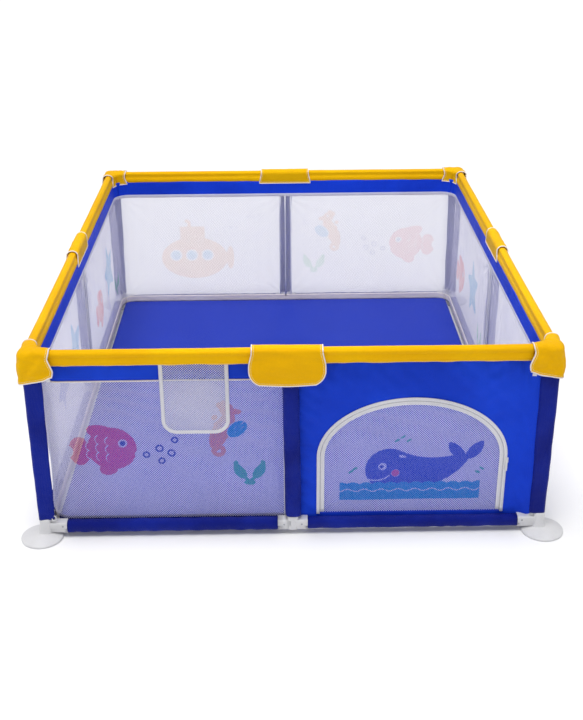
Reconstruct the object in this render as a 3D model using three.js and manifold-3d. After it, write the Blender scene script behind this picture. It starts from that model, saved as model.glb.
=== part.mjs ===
import * as THREE from 'three';
import { mergeVertices } from 'three/addons/utils/BufferGeometryUtils.js';
import Module from 'manifold-3d';

// Fabric play fence, two bays to a side. Millimetres, Z up, front at -Y, floor at Z = 0.

// Overall frame
const FRAME_WIDTH = 1500;
const FRAME_DEPTH = 1800;
const LINE_X = FRAME_WIDTH / 2 - 15;
const LINE_Y = FRAME_DEPTH / 2 - 15;
const RAIL_TOP = 612;

// Tubes
const TUBE_R = 9.5;
const TUBE_WALL = 1.2;
const BORE_R = 10.2;
const TOP_AXIS_Z = 599;
const BASE_AXIS_Z = 32;

// Top padding and caps
const LOBE_R = RAIL_TOP - TOP_AXIS_Z;
const RAIL_BOTTOM = 560;
const SKIRT_IN = 17;
const SKIRT_OUT = 9;
const CAP_GAP = 1;
const CAP_SKIN = 3;
const CAP_ARM = 72;
const CAP_BOTTOM = 512;
const CAP_INNER_BOTTOM = 557;
const COVER_HALF = 105;
const COVER_BOTTOM = 497;
const COVER_CORNER_R = 40;

// Connectors
const TOP_SOCKET_R = 13;
const TOP_SOCKET_BOTTOM = 530;
const TOP_CORNER_ARM = 55;
const TOP_TEE_ARM = 44;
const BASE_SOCKET_R = 16;
const BASE_SOCKET_TOP = 62;
const BASE_BOTTOM = 12.2;
const BASE_ARM_HALF_W = 16;
const BASE_ARM_HALF_H = 18;
const BASE_ARM_CHAMFER = 5;
const BASE_CORNER_ARM = 64;
const BASE_TEE_ARM = 44;

// Feet
const FOOT_R = 62.5;
const FOOT_TOP = 11.6;
const FOOT_STUD_R = 5.5;
const FOOT_STUD_TOP = 18;
const FOOT_OFFSET = 12;
const FOOT_PAD_R = 20;
const FOOT_PAD_TOP = 24;

// Walls
const PLATE_IN = 17;
const PLATE_OUT = 14;
const PLATE_TOP = 583;
const PLATE_LOW = 36;
const NOTCH_TOP = 64.5;
const POST_SLEEVE_R = 22;
const POST_SLEEVE_LOW = 64;
const CORNER_SLEEVE_TOP = 508;
const MIDDLE_SLEEVE_TOP = 493;
const BASE_SLEEVE_R = 20;

// Door, zip and pocket in the front wall
const DOOR_MID_X = 350;
const DOOR_HALF = 268;
const DOOR_SILL = 56;
const DOOR_SHOULDER = 246;
const DOOR_RISE = 184;
const DOOR_GAP = 1.4;
const ZIP_SLIDER_Z = 232;
const POCKET_MID_X = -276;
const POCKET_HALF = 98;
const POCKET_LOW = 334;
const POCKET_TOP = 546;
const POCKET_CORNER_R = 42;

// Floor mat
const MAT_HALF_X = 708;
const MAT_HALF_Y = 858;
const MAT_LOW = 1;
const MAT_TOP = 36;
const MAT_CHAMFER = 18;

const wasm = await Module();
wasm.setup();

// A closed three.js geometry as a manifold solid.
function solid(geometry) {
  const bare = geometry.clone();
  bare.deleteAttribute('normal');
  bare.deleteAttribute('uv');
  const merged = mergeVertices(bare, 1e-5);
  return new wasm.Manifold(new wasm.Mesh({
    numProp: 3,
    vertProperties: new Float32Array(merged.attributes.position.array),
    triVerts: new Uint32Array(merged.index.array),
  }));
}

function join(list) {
  return list.slice(1).reduce((sum, item) => sum.add(item), list[0]);
}

function carve(body, list) {
  return list.reduce((rest, item) => rest.subtract(item), body);
}

// A manifold solid as a flat-shaded three.js geometry.
function geometryOf(body) {
  const mesh = body.getMesh();
  const indexed = new THREE.BufferGeometry();
  const places = new Float32Array(mesh.numVert * 3);
  for (let i = 0; i < mesh.numVert; i += 1) {
    places[3 * i] = mesh.vertProperties[mesh.numProp * i];
    places[3 * i + 1] = mesh.vertProperties[mesh.numProp * i + 1];
    places[3 * i + 2] = mesh.vertProperties[mesh.numProp * i + 2];
  }
  indexed.setAttribute('position', new THREE.BufferAttribute(places, 3));
  indexed.setIndex(new THREE.BufferAttribute(new Uint32Array(mesh.triVerts), 1));
  const flat = indexed.toNonIndexed();
  flat.computeVertexNormals();
  return flat;
}

function shapeOf(points, holes = []) {
  const shape = new THREE.Shape(points.map((p) => new THREE.Vector2(p[0], p[1])));
  for (const hole of holes) {
    shape.holes.push(new THREE.Path(hole.map((p) => new THREE.Vector2(p[0], p[1]))));
  }
  return shape;
}

function ring(radius, count, middle = [0, 0]) {
  const points = [];
  for (let i = 0; i < count; i += 1) {
    const angle = ((i + 0.5) / count) * 2 * Math.PI;
    points.push([middle[0] + radius * Math.cos(angle), middle[1] + radius * Math.sin(angle)]);
  }
  return points;
}

function extruded(points, depth, holes = []) {
  return new THREE.ExtrudeGeometry(shapeOf(points, holes), { depth, bevelEnabled: false });
}

// Outline in (x, y), raised from z0 to z1.
function upright(points, z0, z1, holes = []) {
  return extruded(points, z1 - z0, holes).translate(0, 0, z0);
}

// Outline in (y, z), run along X from x0 to x1.
function alongX(points, x0, x1, holes = []) {
  const g = extruded(points, x1 - x0, holes);
  g.rotateY(Math.PI / 2);
  g.rotateX(Math.PI / 2);
  return g.translate(x0, 0, 0);
}

// Outline in (x, z), run along Y from y0 to y1.
function alongY(points, y0, y1, holes = []) {
  const g = extruded(points, y1 - y0, holes);
  g.rotateX(Math.PI / 2);
  return g.translate(0, y1, 0);
}

function box(x0, x1, y0, y1, z0, z1) {
  const g = new THREE.BoxGeometry(x1 - x0, y1 - y0, z1 - z0);
  return g.translate((x0 + x1) / 2, (y0 + y1) / 2, (z0 + z1) / 2);
}

// Corner and side frames. A wall is drawn in its own frame with U along it, outward at -Y and
// Z up, at Y = 0 on the tube line, then turned and set at its side of the pen.
const WALLS = [
  { name: 'front', turn: 0, half: LINE_X, off: LINE_Y },
  { name: 'right', turn: 90, half: LINE_Y, off: LINE_X },
  { name: 'back', turn: 180, half: LINE_X, off: LINE_Y },
  { name: 'left', turn: 270, half: LINE_Y, off: LINE_X },
];

function onWall(geometry, wall) {
  const g = geometry.clone();
  g.translate(0, -wall.off, 0);
  return g.rotateZ(THREE.MathUtils.degToRad(wall.turn));
}

// A corner is drawn with its arms along +X and +Y from the post axis, then turned and set.
const CORNERS = [
  { name: 'front_left', turn: 0, x: -LINE_X, y: -LINE_Y },
  { name: 'front_right', turn: 90, x: LINE_X, y: -LINE_Y },
  { name: 'back_right', turn: 180, x: LINE_X, y: LINE_Y },
  { name: 'back_left', turn: 270, x: -LINE_X, y: LINE_Y },
];

function atCorner(geometry, corner) {
  const g = geometry.clone();
  g.rotateZ(THREE.MathUtils.degToRad(corner.turn));
  return g.translate(corner.x, corner.y, 0);
}

const group = new THREE.Group();
group.name = 'playpen';

const LOOKS = {
  white_plastic: { color: 0xf2f2f4, roughness: 0.4, metalness: 0 },
  steel_tube: { color: 0xb9bcc0, roughness: 0.35, metalness: 0.9 },
  wall_fabric: { color: 0x2440c0, roughness: 0.8, metalness: 0 },
  yellow_fabric: { color: 0xf2b90c, roughness: 0.75, metalness: 0 },
  mat_fabric: { color: 0x2d41af, roughness: 0.7, metalness: 0 },
  mesh_fabric: { color: 0xe6e6ee, roughness: 0.8, metalness: 0 },
};

function addPart(name, geometry, look) {
  const mesh = new THREE.Mesh(geometry, new THREE.MeshStandardMaterial(LOOKS[look]));
  mesh.name = name;
  group.add(mesh);
}

// Suction disc foot
function foot() {
  const profile = [
    [0, 0],
    [FOOT_R, 0],
    [FOOT_R, 3],
    [56, 6.2],
    [38, 9.4],
    [18, FOOT_TOP],
    [FOOT_STUD_R, FOOT_TOP],
    [FOOT_STUD_R, FOOT_STUD_TOP],
    [0, FOOT_STUD_TOP],
  ].map((p) => new THREE.Vector2(p[0], p[1]));
  const g = new THREE.LatheGeometry(profile, 32);
  g.rotateX(Math.PI / 2);
  return g.translate(-FOOT_OFFSET, -FOOT_OFFSET, 0);
}

// Base arm section, a box with cut corners and the tube bore
function armSection() {
  const w = BASE_ARM_HALF_W;
  const h = BASE_ARM_HALF_H;
  const c = BASE_ARM_CHAMFER;
  const z = BASE_AXIS_Z;
  return [
    [w - c, z - h],
    [w, z - h + c],
    [w, z + h - c],
    [w - c, z + h],
    [c - w, z + h],
    [-w, z + h - c],
    [-w, z - h + c],
    [c - w, z - h],
  ];
}

const tubeRing = ring(BORE_R, 12, [0, BASE_AXIS_Z]);
const topRing = ring(BORE_R, 12, [0, TOP_AXIS_Z]);

function baseCorner() {
  const socket = solid(upright(ring(BASE_SOCKET_R, 16), BASE_BOTTOM, BASE_SOCKET_TOP));
  const pad = solid(upright(
    ring(FOOT_PAD_R, 20, [-FOOT_OFFSET, -FOOT_OFFSET]),
    BASE_BOTTOM,
    FOOT_PAD_TOP,
  ));
  const armX = solid(alongX(armSection(), 0, BASE_CORNER_ARM));
  const armY = solid(alongY(armSection(), 0, BASE_CORNER_ARM));
  const web = [[10, 40], [38, 46], [15, 61], [10, 61]];
  const webX = solid(alongY(web, -4, 4));
  const webY = solid(alongX(web, -4, 4));
  const body = join([socket, pad, armX, armY, webX, webY]);
  return geometryOf(carve(body, [
    solid(upright(ring(BORE_R, 12), 24, BASE_SOCKET_TOP + 1)),
    solid(alongX(tubeRing, 21, BASE_CORNER_ARM + 1)),
    solid(alongY(tubeRing, 21, BASE_CORNER_ARM + 1)),
    solid(upright(ring(6.2, 12, [-FOOT_OFFSET, -FOOT_OFFSET]), BASE_BOTTOM - 1, 19)),
  ]));
}

function baseTee() {
  const socket = solid(upright(ring(BASE_SOCKET_R, 16), BASE_AXIS_Z, BASE_SOCKET_TOP));
  const arms = solid(alongX(armSection(), -BASE_TEE_ARM, BASE_TEE_ARM));
  const body = join([socket, arms]);
  return geometryOf(carve(body, [
    solid(upright(ring(BORE_R, 12), 45, BASE_SOCKET_TOP + 1)),
    solid(alongX(tubeRing, 3, BASE_TEE_ARM + 1)),
    solid(alongX(tubeRing, -BASE_TEE_ARM - 1, -3)),
  ]));
}

function topCorner() {
  const r = TOP_SOCKET_R;
  const outer = ring(r, 12, [0, TOP_AXIS_Z]);
  const body = join([
    solid(upright(ring(r, 12), TOP_SOCKET_BOTTOM, TOP_AXIS_Z)),
    solid(alongX(outer, -5, TOP_CORNER_ARM)),
    solid(alongY(outer, -5, TOP_CORNER_ARM)),
  ]);
  return geometryOf(carve(body, [
    solid(upright(ring(BORE_R, 12), TOP_SOCKET_BOTTOM - 1, 584)),
    solid(alongX(topRing, 15, TOP_CORNER_ARM + 1)),
    solid(alongY(topRing, 15, TOP_CORNER_ARM + 1)),
  ]));
}

function topTee() {
  const r = TOP_SOCKET_R;
  const outer = ring(r, 12, [0, TOP_AXIS_Z]);
  const body = join([
    solid(upright(ring(r, 12), TOP_SOCKET_BOTTOM, TOP_AXIS_Z)),
    solid(alongX(outer, -TOP_TEE_ARM, TOP_TEE_ARM)),
  ]);
  return geometryOf(carve(body, [
    solid(upright(ring(BORE_R, 12), TOP_SOCKET_BOTTOM - 1, 584)),
    solid(alongX(topRing, 3.5, TOP_TEE_ARM + 1)),
    solid(alongX(topRing, -TOP_TEE_ARM - 1, -3.5)),
  ]));
}

const tubeOut = (middle) => ring(TUBE_R, 12, middle);
const tubeIn = (middle) => ring(TUBE_R - TUBE_WALL, 12, middle);

function postTube(z0, z1) {
  return upright(tubeOut([0, 0]), z0, z1, [tubeIn([0, 0])]);
}

function railTube(z, x0, x1) {
  return alongX(tubeOut([0, z]), x0, x1, [tubeIn([0, z])]);
}

// Padded top rail section in (y, z): a round lobe on the tube and a flat skirt below it.
// Inward is +Y, outward is -Y.
function railSection() {
  const points = [];
  for (let i = 0; i <= 8; i += 1) {
    const angle = THREE.MathUtils.degToRad(-155 - i * 27.5);
    points.push([LOBE_R * Math.cos(angle), TOP_AXIS_Z + LOBE_R * Math.sin(angle)]);
  }
  points.push([SKIRT_IN, 584]);
  points.push([SKIRT_IN, RAIL_BOTTOM]);
  points.push([-SKIRT_OUT, RAIL_BOTTOM]);
  points.push([-SKIRT_OUT, 583]);
  return points.reverse();
}

function archOutline(half, sill, shoulder, rise) {
  const points = [[DOOR_MID_X + half, sill], [DOOR_MID_X + half, shoulder]];
  const steps = 20;
  for (let i = 1; i < steps; i += 1) {
    const angle = (i / steps) * Math.PI;
    points.push([DOOR_MID_X + half * Math.cos(angle), shoulder + rise * Math.sin(angle)]);
  }
  points.push([DOOR_MID_X - half, shoulder], [DOOR_MID_X - half, sill]);
  return points;
}

// Flat part of a wall in (u, z), with notches that clear the base connectors.
function plateOutline(half) {
  const left = -half + POST_SLEEVE_R + 0.8;
  const right = half - 12;
  const inset = BASE_CORNER_ARM + 2;
  const tee = BASE_TEE_ARM + 3;
  return [
    [left, NOTCH_TOP],
    [-half + inset, NOTCH_TOP],
    [-half + inset, PLATE_LOW],
    [-tee, PLATE_LOW],
    [-tee, NOTCH_TOP],
    [tee, NOTCH_TOP],
    [tee, PLATE_LOW],
    [half - inset, PLATE_LOW],
    [half - inset, NOTCH_TOP],
    [right, NOTCH_TOP],
    [right, PLATE_TOP],
    [left, PLATE_TOP],
  ];
}

function wallBody(wall) {
  const half = wall.half;
  const padStart = TOP_CORNER_ARM + 1;
  const padMiddle = TOP_TEE_ARM + 1;
  const sleeveStart = BASE_CORNER_ARM + 1;
  const sleeveMiddle = BASE_TEE_ARM + 1;
  const hole = ring(BORE_R, 12, [0, TOP_AXIS_Z]);
  const baseHole = ring(BORE_R, 12, [0, BASE_AXIS_Z]);
  const baseRing = ring(BASE_SLEEVE_R, 16, [0, BASE_AXIS_Z]);
  const sleeveRing = ring(POST_SLEEVE_R, 16);
  const sleeveHole = ring(BORE_R, 12);
  const parts = [solid(alongY(plateOutline(half), PLATE_OUT, PLATE_IN))];
  for (const side of [-1, 1]) {
    const pad = [side * padMiddle, side * (half - padStart)].sort((a, b) => a - b);
    parts.push(solid(alongX(railSection(), pad[0], pad[1], [hole])));
    const base = [side * sleeveMiddle, side * (half - sleeveStart)].sort((a, b) => a - b);
    parts.push(solid(alongX(baseRing, base[0], base[1], [baseHole])));
  }
  parts.push(solid(upright(sleeveRing, POST_SLEEVE_LOW, MIDDLE_SLEEVE_TOP, [sleeveHole])));
  const corner = upright(sleeveRing, POST_SLEEVE_LOW, CORNER_SLEEVE_TOP, [sleeveHole]);
  parts.push(solid(corner.translate(half, 0, 0)));
  let body = join(parts);
  if (wall.name === 'front') {
    const arch = archOutline(DOOR_HALF + DOOR_GAP, DOOR_SILL, DOOR_SHOULDER, DOOR_RISE + DOOR_GAP);
    body = body.subtract(solid(alongY(arch, PLATE_OUT - 1, PLATE_IN + 1)));
  }
  return geometryOf(body);
}

// Section of the soft covers in (y, z), grown by `grow` from the inner face.
function coverSection(grow, outerLow, innerLow) {
  const r = LOBE_R + CAP_GAP + grow;
  const points = [[-r, outerLow]];
  for (let i = 0; i <= 8; i += 1) {
    const angle = Math.PI - (i / 8) * Math.PI;
    points.push([r * Math.cos(angle), TOP_AXIS_Z + r * Math.sin(angle)]);
  }
  const inner = SKIRT_IN + CAP_GAP + grow;
  points.push([inner, TOP_AXIS_Z - 12 + grow]);
  points.push([inner, innerLow]);
  points.push([r, innerLow]);
  if (innerLow > outerLow) {
    points.push([-r + CAP_SKIN, innerLow]);
    points.push([-r + CAP_SKIN, outerLow]);
  }
  return points.reverse();
}

function roundedCornerPlan(edge, radius, far) {
  const points = [[far, -edge], [far, far], [-edge, far]];
  const middle = radius - edge;
  for (let i = 0; i <= 5; i += 1) {
    const angle = Math.PI + (i / 5) * (Math.PI / 2);
    points.push([middle + radius * Math.cos(angle), middle + radius * Math.sin(angle)]);
  }
  return points;
}

function cornerCap() {
  const outerEdge = LOBE_R + CAP_GAP + CAP_SKIN;
  const innerEdge = LOBE_R + CAP_GAP;
  const outerPlan = roundedCornerPlan(outerEdge, 15, 200);
  const innerPlan = roundedCornerPlan(innerEdge, 12, 200);
  const low = CAP_BOTTOM;
  const outline = coverSection(CAP_SKIN, low, low - 1).map((p) => [p[0], Math.max(p[1], low)]);
  const hollow = coverSection(0, low - 5, low - 5);
  const outer = join([
    solid(alongX(dedupe(outline), -outerEdge, CAP_ARM)),
    solid(alongY(dedupe(outline), -outerEdge, CAP_ARM)),
  ]).intersect(solid(upright(outerPlan, low, 700)));
  const inner = join([
    solid(alongX(dedupe(hollow), -innerEdge, CAP_ARM + 5)),
    solid(alongY(dedupe(hollow), -innerEdge, CAP_ARM + 5)),
  ]).intersect(solid(upright(innerPlan, low - 5, 700)));
  const under = solid(upright(innerPlan, low - 5, CAP_INNER_BOTTOM));
  return geometryOf(carve(outer, [inner, under]));
}

function dedupe(points) {
  return points.filter((p, i) => {
    const q = points[(i + 1) % points.length];
    return Math.hypot(p[0] - q[0], p[1] - q[1]) > 1e-6;
  });
}

// Wrap over the middle of a rail, with a long outer flap and a short inner one
function railCover() {
  const low = COVER_BOTTOM;
  const outline = coverSection(CAP_SKIN, low, low - 1).map((p) => [p[0], Math.max(p[1], low)]);
  const hollow = coverSection(0, low - 5, low - 5);
  const outer = solid(alongX(dedupe(outline), -COVER_HALF, COVER_HALF));
  const inner = solid(alongX(dedupe(hollow), -COVER_HALF - 5, COVER_HALF + 5));
  const under = solid(box(-200, 200, -LOBE_R - CAP_GAP, 60, low - 5, CAP_INNER_BOTTOM));
  const mask = [[COVER_HALF, 700], [-COVER_HALF, 700]];
  for (const side of [-1, 1]) {
    for (let i = 0; i <= 5; i += 1) {
      const t = side < 0 ? i / 5 : 1 - i / 5;
      const angle = t * (Math.PI / 2);
      mask.push([
        side * (COVER_HALF - COVER_CORNER_R + COVER_CORNER_R * Math.cos(angle)),
        low + COVER_CORNER_R - COVER_CORNER_R * Math.sin(angle),
      ]);
    }
  }
  const keep = solid(alongY(mask, -60, 60));
  return geometryOf(carve(outer, [inner, under]).intersect(keep));
}

// Open pouch on the outside of the front wall: a front sheet with side and bottom rims.
function pouchOutline(inset, top) {
  const half = POCKET_HALF - inset;
  const r = POCKET_CORNER_R - inset;
  const low = POCKET_LOW + inset;
  const points = [[POCKET_MID_X + half, top], [POCKET_MID_X - half, top]];
  for (const side of [-1, 1]) {
    for (let i = 0; i <= 5; i += 1) {
      const t = side < 0 ? i / 5 : 1 - i / 5;
      const angle = t * (Math.PI / 2);
      points.push([
        POCKET_MID_X + side * (half - r + r * Math.cos(angle)),
        low + r - r * Math.sin(angle),
      ]);
    }
  }
  return points;
}

function pocket() {
  const back = PLATE_OUT - 0.5;
  const shell = solid(alongY(pouchOutline(0, POCKET_TOP), 2, back));
  const room = solid(alongY(pouchOutline(4, POCKET_TOP + 5), 4, back + 1));
  return geometryOf(shell.subtract(room));
}

function floorMat() {
  const x = MAT_HALF_X;
  const y = MAT_HALF_Y;
  const c = MAT_CHAMFER;
  return upright([
    [x - c, -y],
    [x, c - y],
    [x, y - c],
    [x - c, y],
    [c - x, y],
    [-x, y - c],
    [-x, c - y],
    [c - x, -y],
  ], MAT_LOW, MAT_TOP);
}

function doorFlap() {
  const sill = DOOR_SILL + DOOR_GAP;
  return alongY(archOutline(DOOR_HALF, sill, DOOR_SHOULDER, DOOR_RISE), PLATE_OUT, PLATE_IN);
}

// Zip slider with its pull tab, on the fixed side of the zip
function zipSlider() {
  const x = DOOR_MID_X + DOOR_HALF + 9;
  const z = ZIP_SLIDER_Z;
  const slider = solid(box(x - 5, x + 5, 8.5, PLATE_OUT - 0.6, z - 8, z + 8));
  const tab = solid(box(x - 3, x + 3, 6.5, 9.5, z - 34, z + 4));
  return geometryOf(slider.add(tab));
}

for (const corner of CORNERS) {
  addPart(`foot_${corner.name}`, atCorner(foot(), corner), 'white_plastic');
  addPart(`base_corner_${corner.name}`, atCorner(baseCorner(), corner), 'white_plastic');
  addPart(`top_corner_${corner.name}`, atCorner(topCorner(), corner), 'white_plastic');
  addPart(`post_${corner.name}`, atCorner(postTube(24.5, 583), corner), 'steel_tube');
  addPart(`corner_cap_${corner.name}`, atCorner(cornerCap(), corner), 'yellow_fabric');
}

for (const wall of WALLS) {
  const half = wall.half;
  addPart(`base_tee_${wall.name}`, onWall(baseTee(), wall), 'white_plastic');
  addPart(`top_tee_${wall.name}`, onWall(topTee(), wall), 'white_plastic');
  addPart(`post_${wall.name}`, onWall(postTube(45.5, 583), wall), 'steel_tube');
  const sides = [
    { tag: 'a', sign: -1 },
    { tag: 'b', sign: 1 },
  ];
  for (const { tag, sign } of sides) {
    const top = [sign * 4, sign * (half - 15.5)].sort((a, b) => a - b);
    const base = [sign * 3.5, sign * (half - 21.5)].sort((a, b) => a - b);
    const topTube = railTube(TOP_AXIS_Z, top[0], top[1]);
    const baseTube = railTube(BASE_AXIS_Z, base[0], base[1]);
    addPart(`top_tube_${wall.name}_${tag}`, onWall(topTube, wall), 'steel_tube');
    addPart(`base_tube_${wall.name}_${tag}`, onWall(baseTube, wall), 'steel_tube');
  }
  addPart(`wall_${wall.name}`, onWall(wallBody(wall), wall), 'wall_fabric');
  addPart(`rail_cover_${wall.name}`, onWall(railCover(), wall), 'yellow_fabric');
}

addPart('door_flap', onWall(doorFlap(), WALLS[0]), 'mesh_fabric');
addPart('zip_slider', onWall(zipSlider(), WALLS[0]), 'white_plastic');
addPart('storage_pocket', onWall(pocket(), WALLS[0]), 'mesh_fabric');
addPart('floor_mat', floorMat(), 'mat_fabric');

export default group;
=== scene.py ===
"""Looks of a rectangular fabric play fence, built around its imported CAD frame. Metres, Z up, front at -Y."""

import math
from math import pi

import bmesh
import bpy
import numpy as np
from mathutils import Matrix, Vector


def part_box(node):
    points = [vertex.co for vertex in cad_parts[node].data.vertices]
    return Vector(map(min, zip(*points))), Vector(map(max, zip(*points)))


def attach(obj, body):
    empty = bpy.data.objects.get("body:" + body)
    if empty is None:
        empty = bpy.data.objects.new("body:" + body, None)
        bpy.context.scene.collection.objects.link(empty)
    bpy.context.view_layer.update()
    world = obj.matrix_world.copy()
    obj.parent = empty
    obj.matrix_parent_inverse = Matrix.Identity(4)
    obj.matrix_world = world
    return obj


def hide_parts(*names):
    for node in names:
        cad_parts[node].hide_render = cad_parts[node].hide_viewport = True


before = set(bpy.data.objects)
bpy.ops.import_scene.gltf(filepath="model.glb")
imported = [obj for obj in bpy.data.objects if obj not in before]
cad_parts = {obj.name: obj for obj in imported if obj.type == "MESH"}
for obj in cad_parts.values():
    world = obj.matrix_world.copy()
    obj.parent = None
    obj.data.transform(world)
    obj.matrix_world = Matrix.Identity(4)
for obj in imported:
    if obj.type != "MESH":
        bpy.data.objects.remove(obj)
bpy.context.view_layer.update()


def middle(node):
    low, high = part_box(node)
    return [(a + b) / 2 for a, b in zip(low, high)]


# Sizes taken from the frame
LINE_X = -middle("post_front_left")[0]
LINE_Y = -middle("post_front_left")[1]
TOP_Z = middle("top_tube_front_a")[2]
BASE_Z = middle("base_tube_front_a")[2]
RAIL_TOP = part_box("wall_front")[1][2]
LOBE = RAIL_TOP - TOP_Z
DOOR_LOW, DOOR_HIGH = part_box("door_flap")
DOOR_X = (DOOR_LOW[0] + DOOR_HIGH[0]) / 2
ZIP_HALF = (DOOR_HIGH[0] - DOOR_LOW[0]) / 2
DOOR_SILL = DOOR_LOW[2]
DOOR_TOP = DOOR_HIGH[2]
DOOR_SHOULDER = DOOR_SILL + 0.19
SHEET_IN = LINE_Y + (DOOR_LOW[1] + DOOR_HIGH[1]) / 2
RAIL_LOW = 0.5605
BAND_LOW = 0.505
MESH_LOW = 0.047
CORNER_R = 0.06
CAP_ARM = 0.066
COVER_SLIP = -0.013
NET_THICK = 0.0009
STITCH = 0.0045
SUN_POWER = 2.15
SUN_TILT = (6.0, -5.0, 0.0)
SUN_SPREAD = 34.0
WORLD_POWER = 0.46
LENS = 55.095
CAMERA_PLACE = (-0.039, -3.648, 1.894)
CAMERA_TURN = (25.59, 0.79, -0.37)
RAIL_TURN_IN = RAIL_LOW + 0.012
PANEL_GRID = 0.006
PRINT_GRID = 0.003
NET_GRID = 0.005
POCKET_GRID = 0.004

# The slot of each material that is used for one kind of piece only; make looks it up but keeps it nowhere
USUAL_SLOT = {
    "Yellow_oxford": "yellow_fabric",
    "Royal_oxford": "wall_fabric",
    "Navy_oxford": "wall_fabric",
    "Mat_satin": "mat_fabric",
    "White_moulding": "white_plastic",
    "Screw_heads": "white_plastic",
    "White_net": "mesh_fabric",
    "White_net_printed": "mesh_fabric",
}

WALLS = {
    "front": dict(turn=0, half=LINE_X, off=LINE_Y),
    "right": dict(turn=90, half=LINE_Y, off=LINE_X),
    "back": dict(turn=180, half=LINE_X, off=LINE_Y),
    "left": dict(turn=270, half=LINE_Y, off=LINE_X),
}
CORNERS = {
    "front_left": dict(turn=0, x=-LINE_X, y=-LINE_Y),
    "front_right": dict(turn=90, x=LINE_X, y=-LINE_Y),
    "back_right": dict(turn=180, x=LINE_X, y=LINE_Y),
    "back_left": dict(turn=270, x=-LINE_X, y=LINE_Y),
}


# ---------------------------------------------------------------- geometry


def turned(points, turn, shift):
    a = math.radians(turn)
    c, s = round(math.cos(a)), round(math.sin(a))
    x, y, z = points[..., 0], points[..., 1], points[..., 2]
    return np.stack([c * x - s * y + shift[0], s * x + c * y + shift[1], z], -1)


def on_wall(name, u, inward, z):
    """Wall coordinates to the row frame. u runs to the right as seen from outside."""
    w = WALLS[name]
    u, inward, z = np.broadcast_arrays(u, inward, z)
    return turned(np.stack([u, inward - w["off"], z], -1).astype(float), w["turn"], (0, 0))


def at_corner(name, x, y, z):
    """Corner coordinates to the row frame. The arms run along +x and +y from the post."""
    c = CORNERS[name]
    x, y, z = np.broadcast_arrays(x, y, z)
    return turned(np.stack([x, y, z], -1).astype(float), c["turn"], (c["x"], c["y"]))


def ripple(a, b, seed, scale=1.0, count=7):
    """Smooth wandering height in about -1 to 1 over two coordinates in metres."""
    rng = np.random.default_rng(seed)
    total = np.zeros(np.broadcast(a, b).shape)
    weight = 0.0
    for i in range(count):
        angle = rng.uniform(0, pi)
        wave = scale * 2 ** (i * 0.45)
        phase = rng.uniform(0, 2 * pi)
        size = 1 / (1 + 0.5 * i)
        total = total + size * np.sin(2 * pi * wave * (a * math.cos(angle) + b * math.sin(angle)) + phase)
        weight += size
    return total / weight * 1.8


def smooth(t):
    t = np.clip(t, 0, 1)
    return t * t * (3 - 2 * t)


def placed(name, data):
    """A new object in the scene."""
    obj = bpy.data.objects.new(name, data)
    bpy.context.scene.collection.objects.link(obj)
    return obj


def make(name, points, faces, material, body="frame", uv=None, inks=None, slot=None):
    mesh = bpy.data.meshes.new(name)
    mesh.from_pydata(np.asarray(points).reshape(-1, 3).tolist(), [], faces)
    if uv is not None:
        layer = mesh.uv_layers.new(name="Cloth")
        index = np.empty(len(mesh.loops), np.int32)
        mesh.loops.foreach_get("vertex_index", index)
        layer.data.foreach_set("uv", np.asarray(uv).reshape(-1, 2)[index].ravel())
    for key, values in (inks or {}).items():
        made = mesh.attributes.new(key, "FLOAT", "POINT")
        made.data.foreach_set("value", np.asarray(values, float).ravel())
    mesh.polygons.foreach_set("use_smooth", [True] * len(mesh.polygons))
    mesh.materials.append(material)
    obj = placed(name, mesh)
    mesh.update()
    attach(obj, body)
    slot = slot or USUAL_SLOT.get(material.name)
    return obj


def grid_faces(rows, cols, start=0, wrap_cols=False, wrap_rows=False, flip=False):
    faces = []
    for i in range(rows if wrap_rows else rows - 1):
        for j in range(cols if wrap_cols else cols - 1):
            i2, j2 = (i + 1) % rows, (j + 1) % cols
            f = (start + i * cols + j, start + i * cols + j2, start + i2 * cols + j2, start + i2 * cols + j)
            faces.append(f[::-1] if flip else f)
    return faces


def sweep(name, rings, material, body="frame", closed=False, slot=None, across=None):
    """A closed body from rings of points: array (rings, points in a ring, 3). across gives each ring
    point's distance from the sewn rim."""
    rings = np.asarray(rings)
    n, m = rings.shape[:2]
    marks = None
    if across is not None:
        steps = np.linalg.norm(np.diff(rings.mean(1), axis=0), axis=1)
        run = np.concatenate([[0], np.cumsum(steps)])
        marks = {"run": np.repeat(run, m), "rim": np.broadcast_to(across, (n, m))}
    faces = grid_faces(n, m, wrap_cols=True, wrap_rows=closed)
    points = rings.reshape(-1, 3)
    if not closed:
        faces.append(tuple(range(m))[::-1])
        faces.append(tuple(range((n - 1) * m, n * m)))
    obj = make(name, points, faces, material, body=body, inks=marks, slot=slot)
    fix_normals(obj)
    return obj


def fix_normals(obj):
    bm = bmesh.new()
    bm.from_mesh(obj.data)
    bmesh.ops.recalc_face_normals(bm, faces=bm.faces)
    bm.to_mesh(obj.data)
    bm.free()


def drop_loose(obj):
    bm = bmesh.new()
    bm.from_mesh(obj.data)
    bmesh.ops.delete(bm, geom=[v for v in bm.verts if not v.link_faces], context="VERTS")
    bm.to_mesh(obj.data)
    bm.free()


def two_layers(name, outer, inner, wanted, material, body="frame", uv=None, inks=None):
    """A thin sheet from two grids of points. wanted says which cells it has, from their corners' numbers."""
    rows, cols = outer.shape[:2]
    faces = grid_faces(rows, cols)
    back = grid_faces(rows, cols, start=rows * cols, flip=True)
    chosen = [i for i, f in enumerate(faces) if wanted(list(f))]
    points = np.concatenate([outer.reshape(-1, 3), inner.reshape(-1, 3)])
    faces = [faces[i] for i in chosen] + [back[i] for i in chosen]
    if uv is not None:
        uv = np.concatenate([uv.reshape(-1, 2)] * 2)
    obj = make(name, points, faces, material, body=body, uv=uv, inks=inks)
    drop_loose(obj)
    return obj


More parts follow.
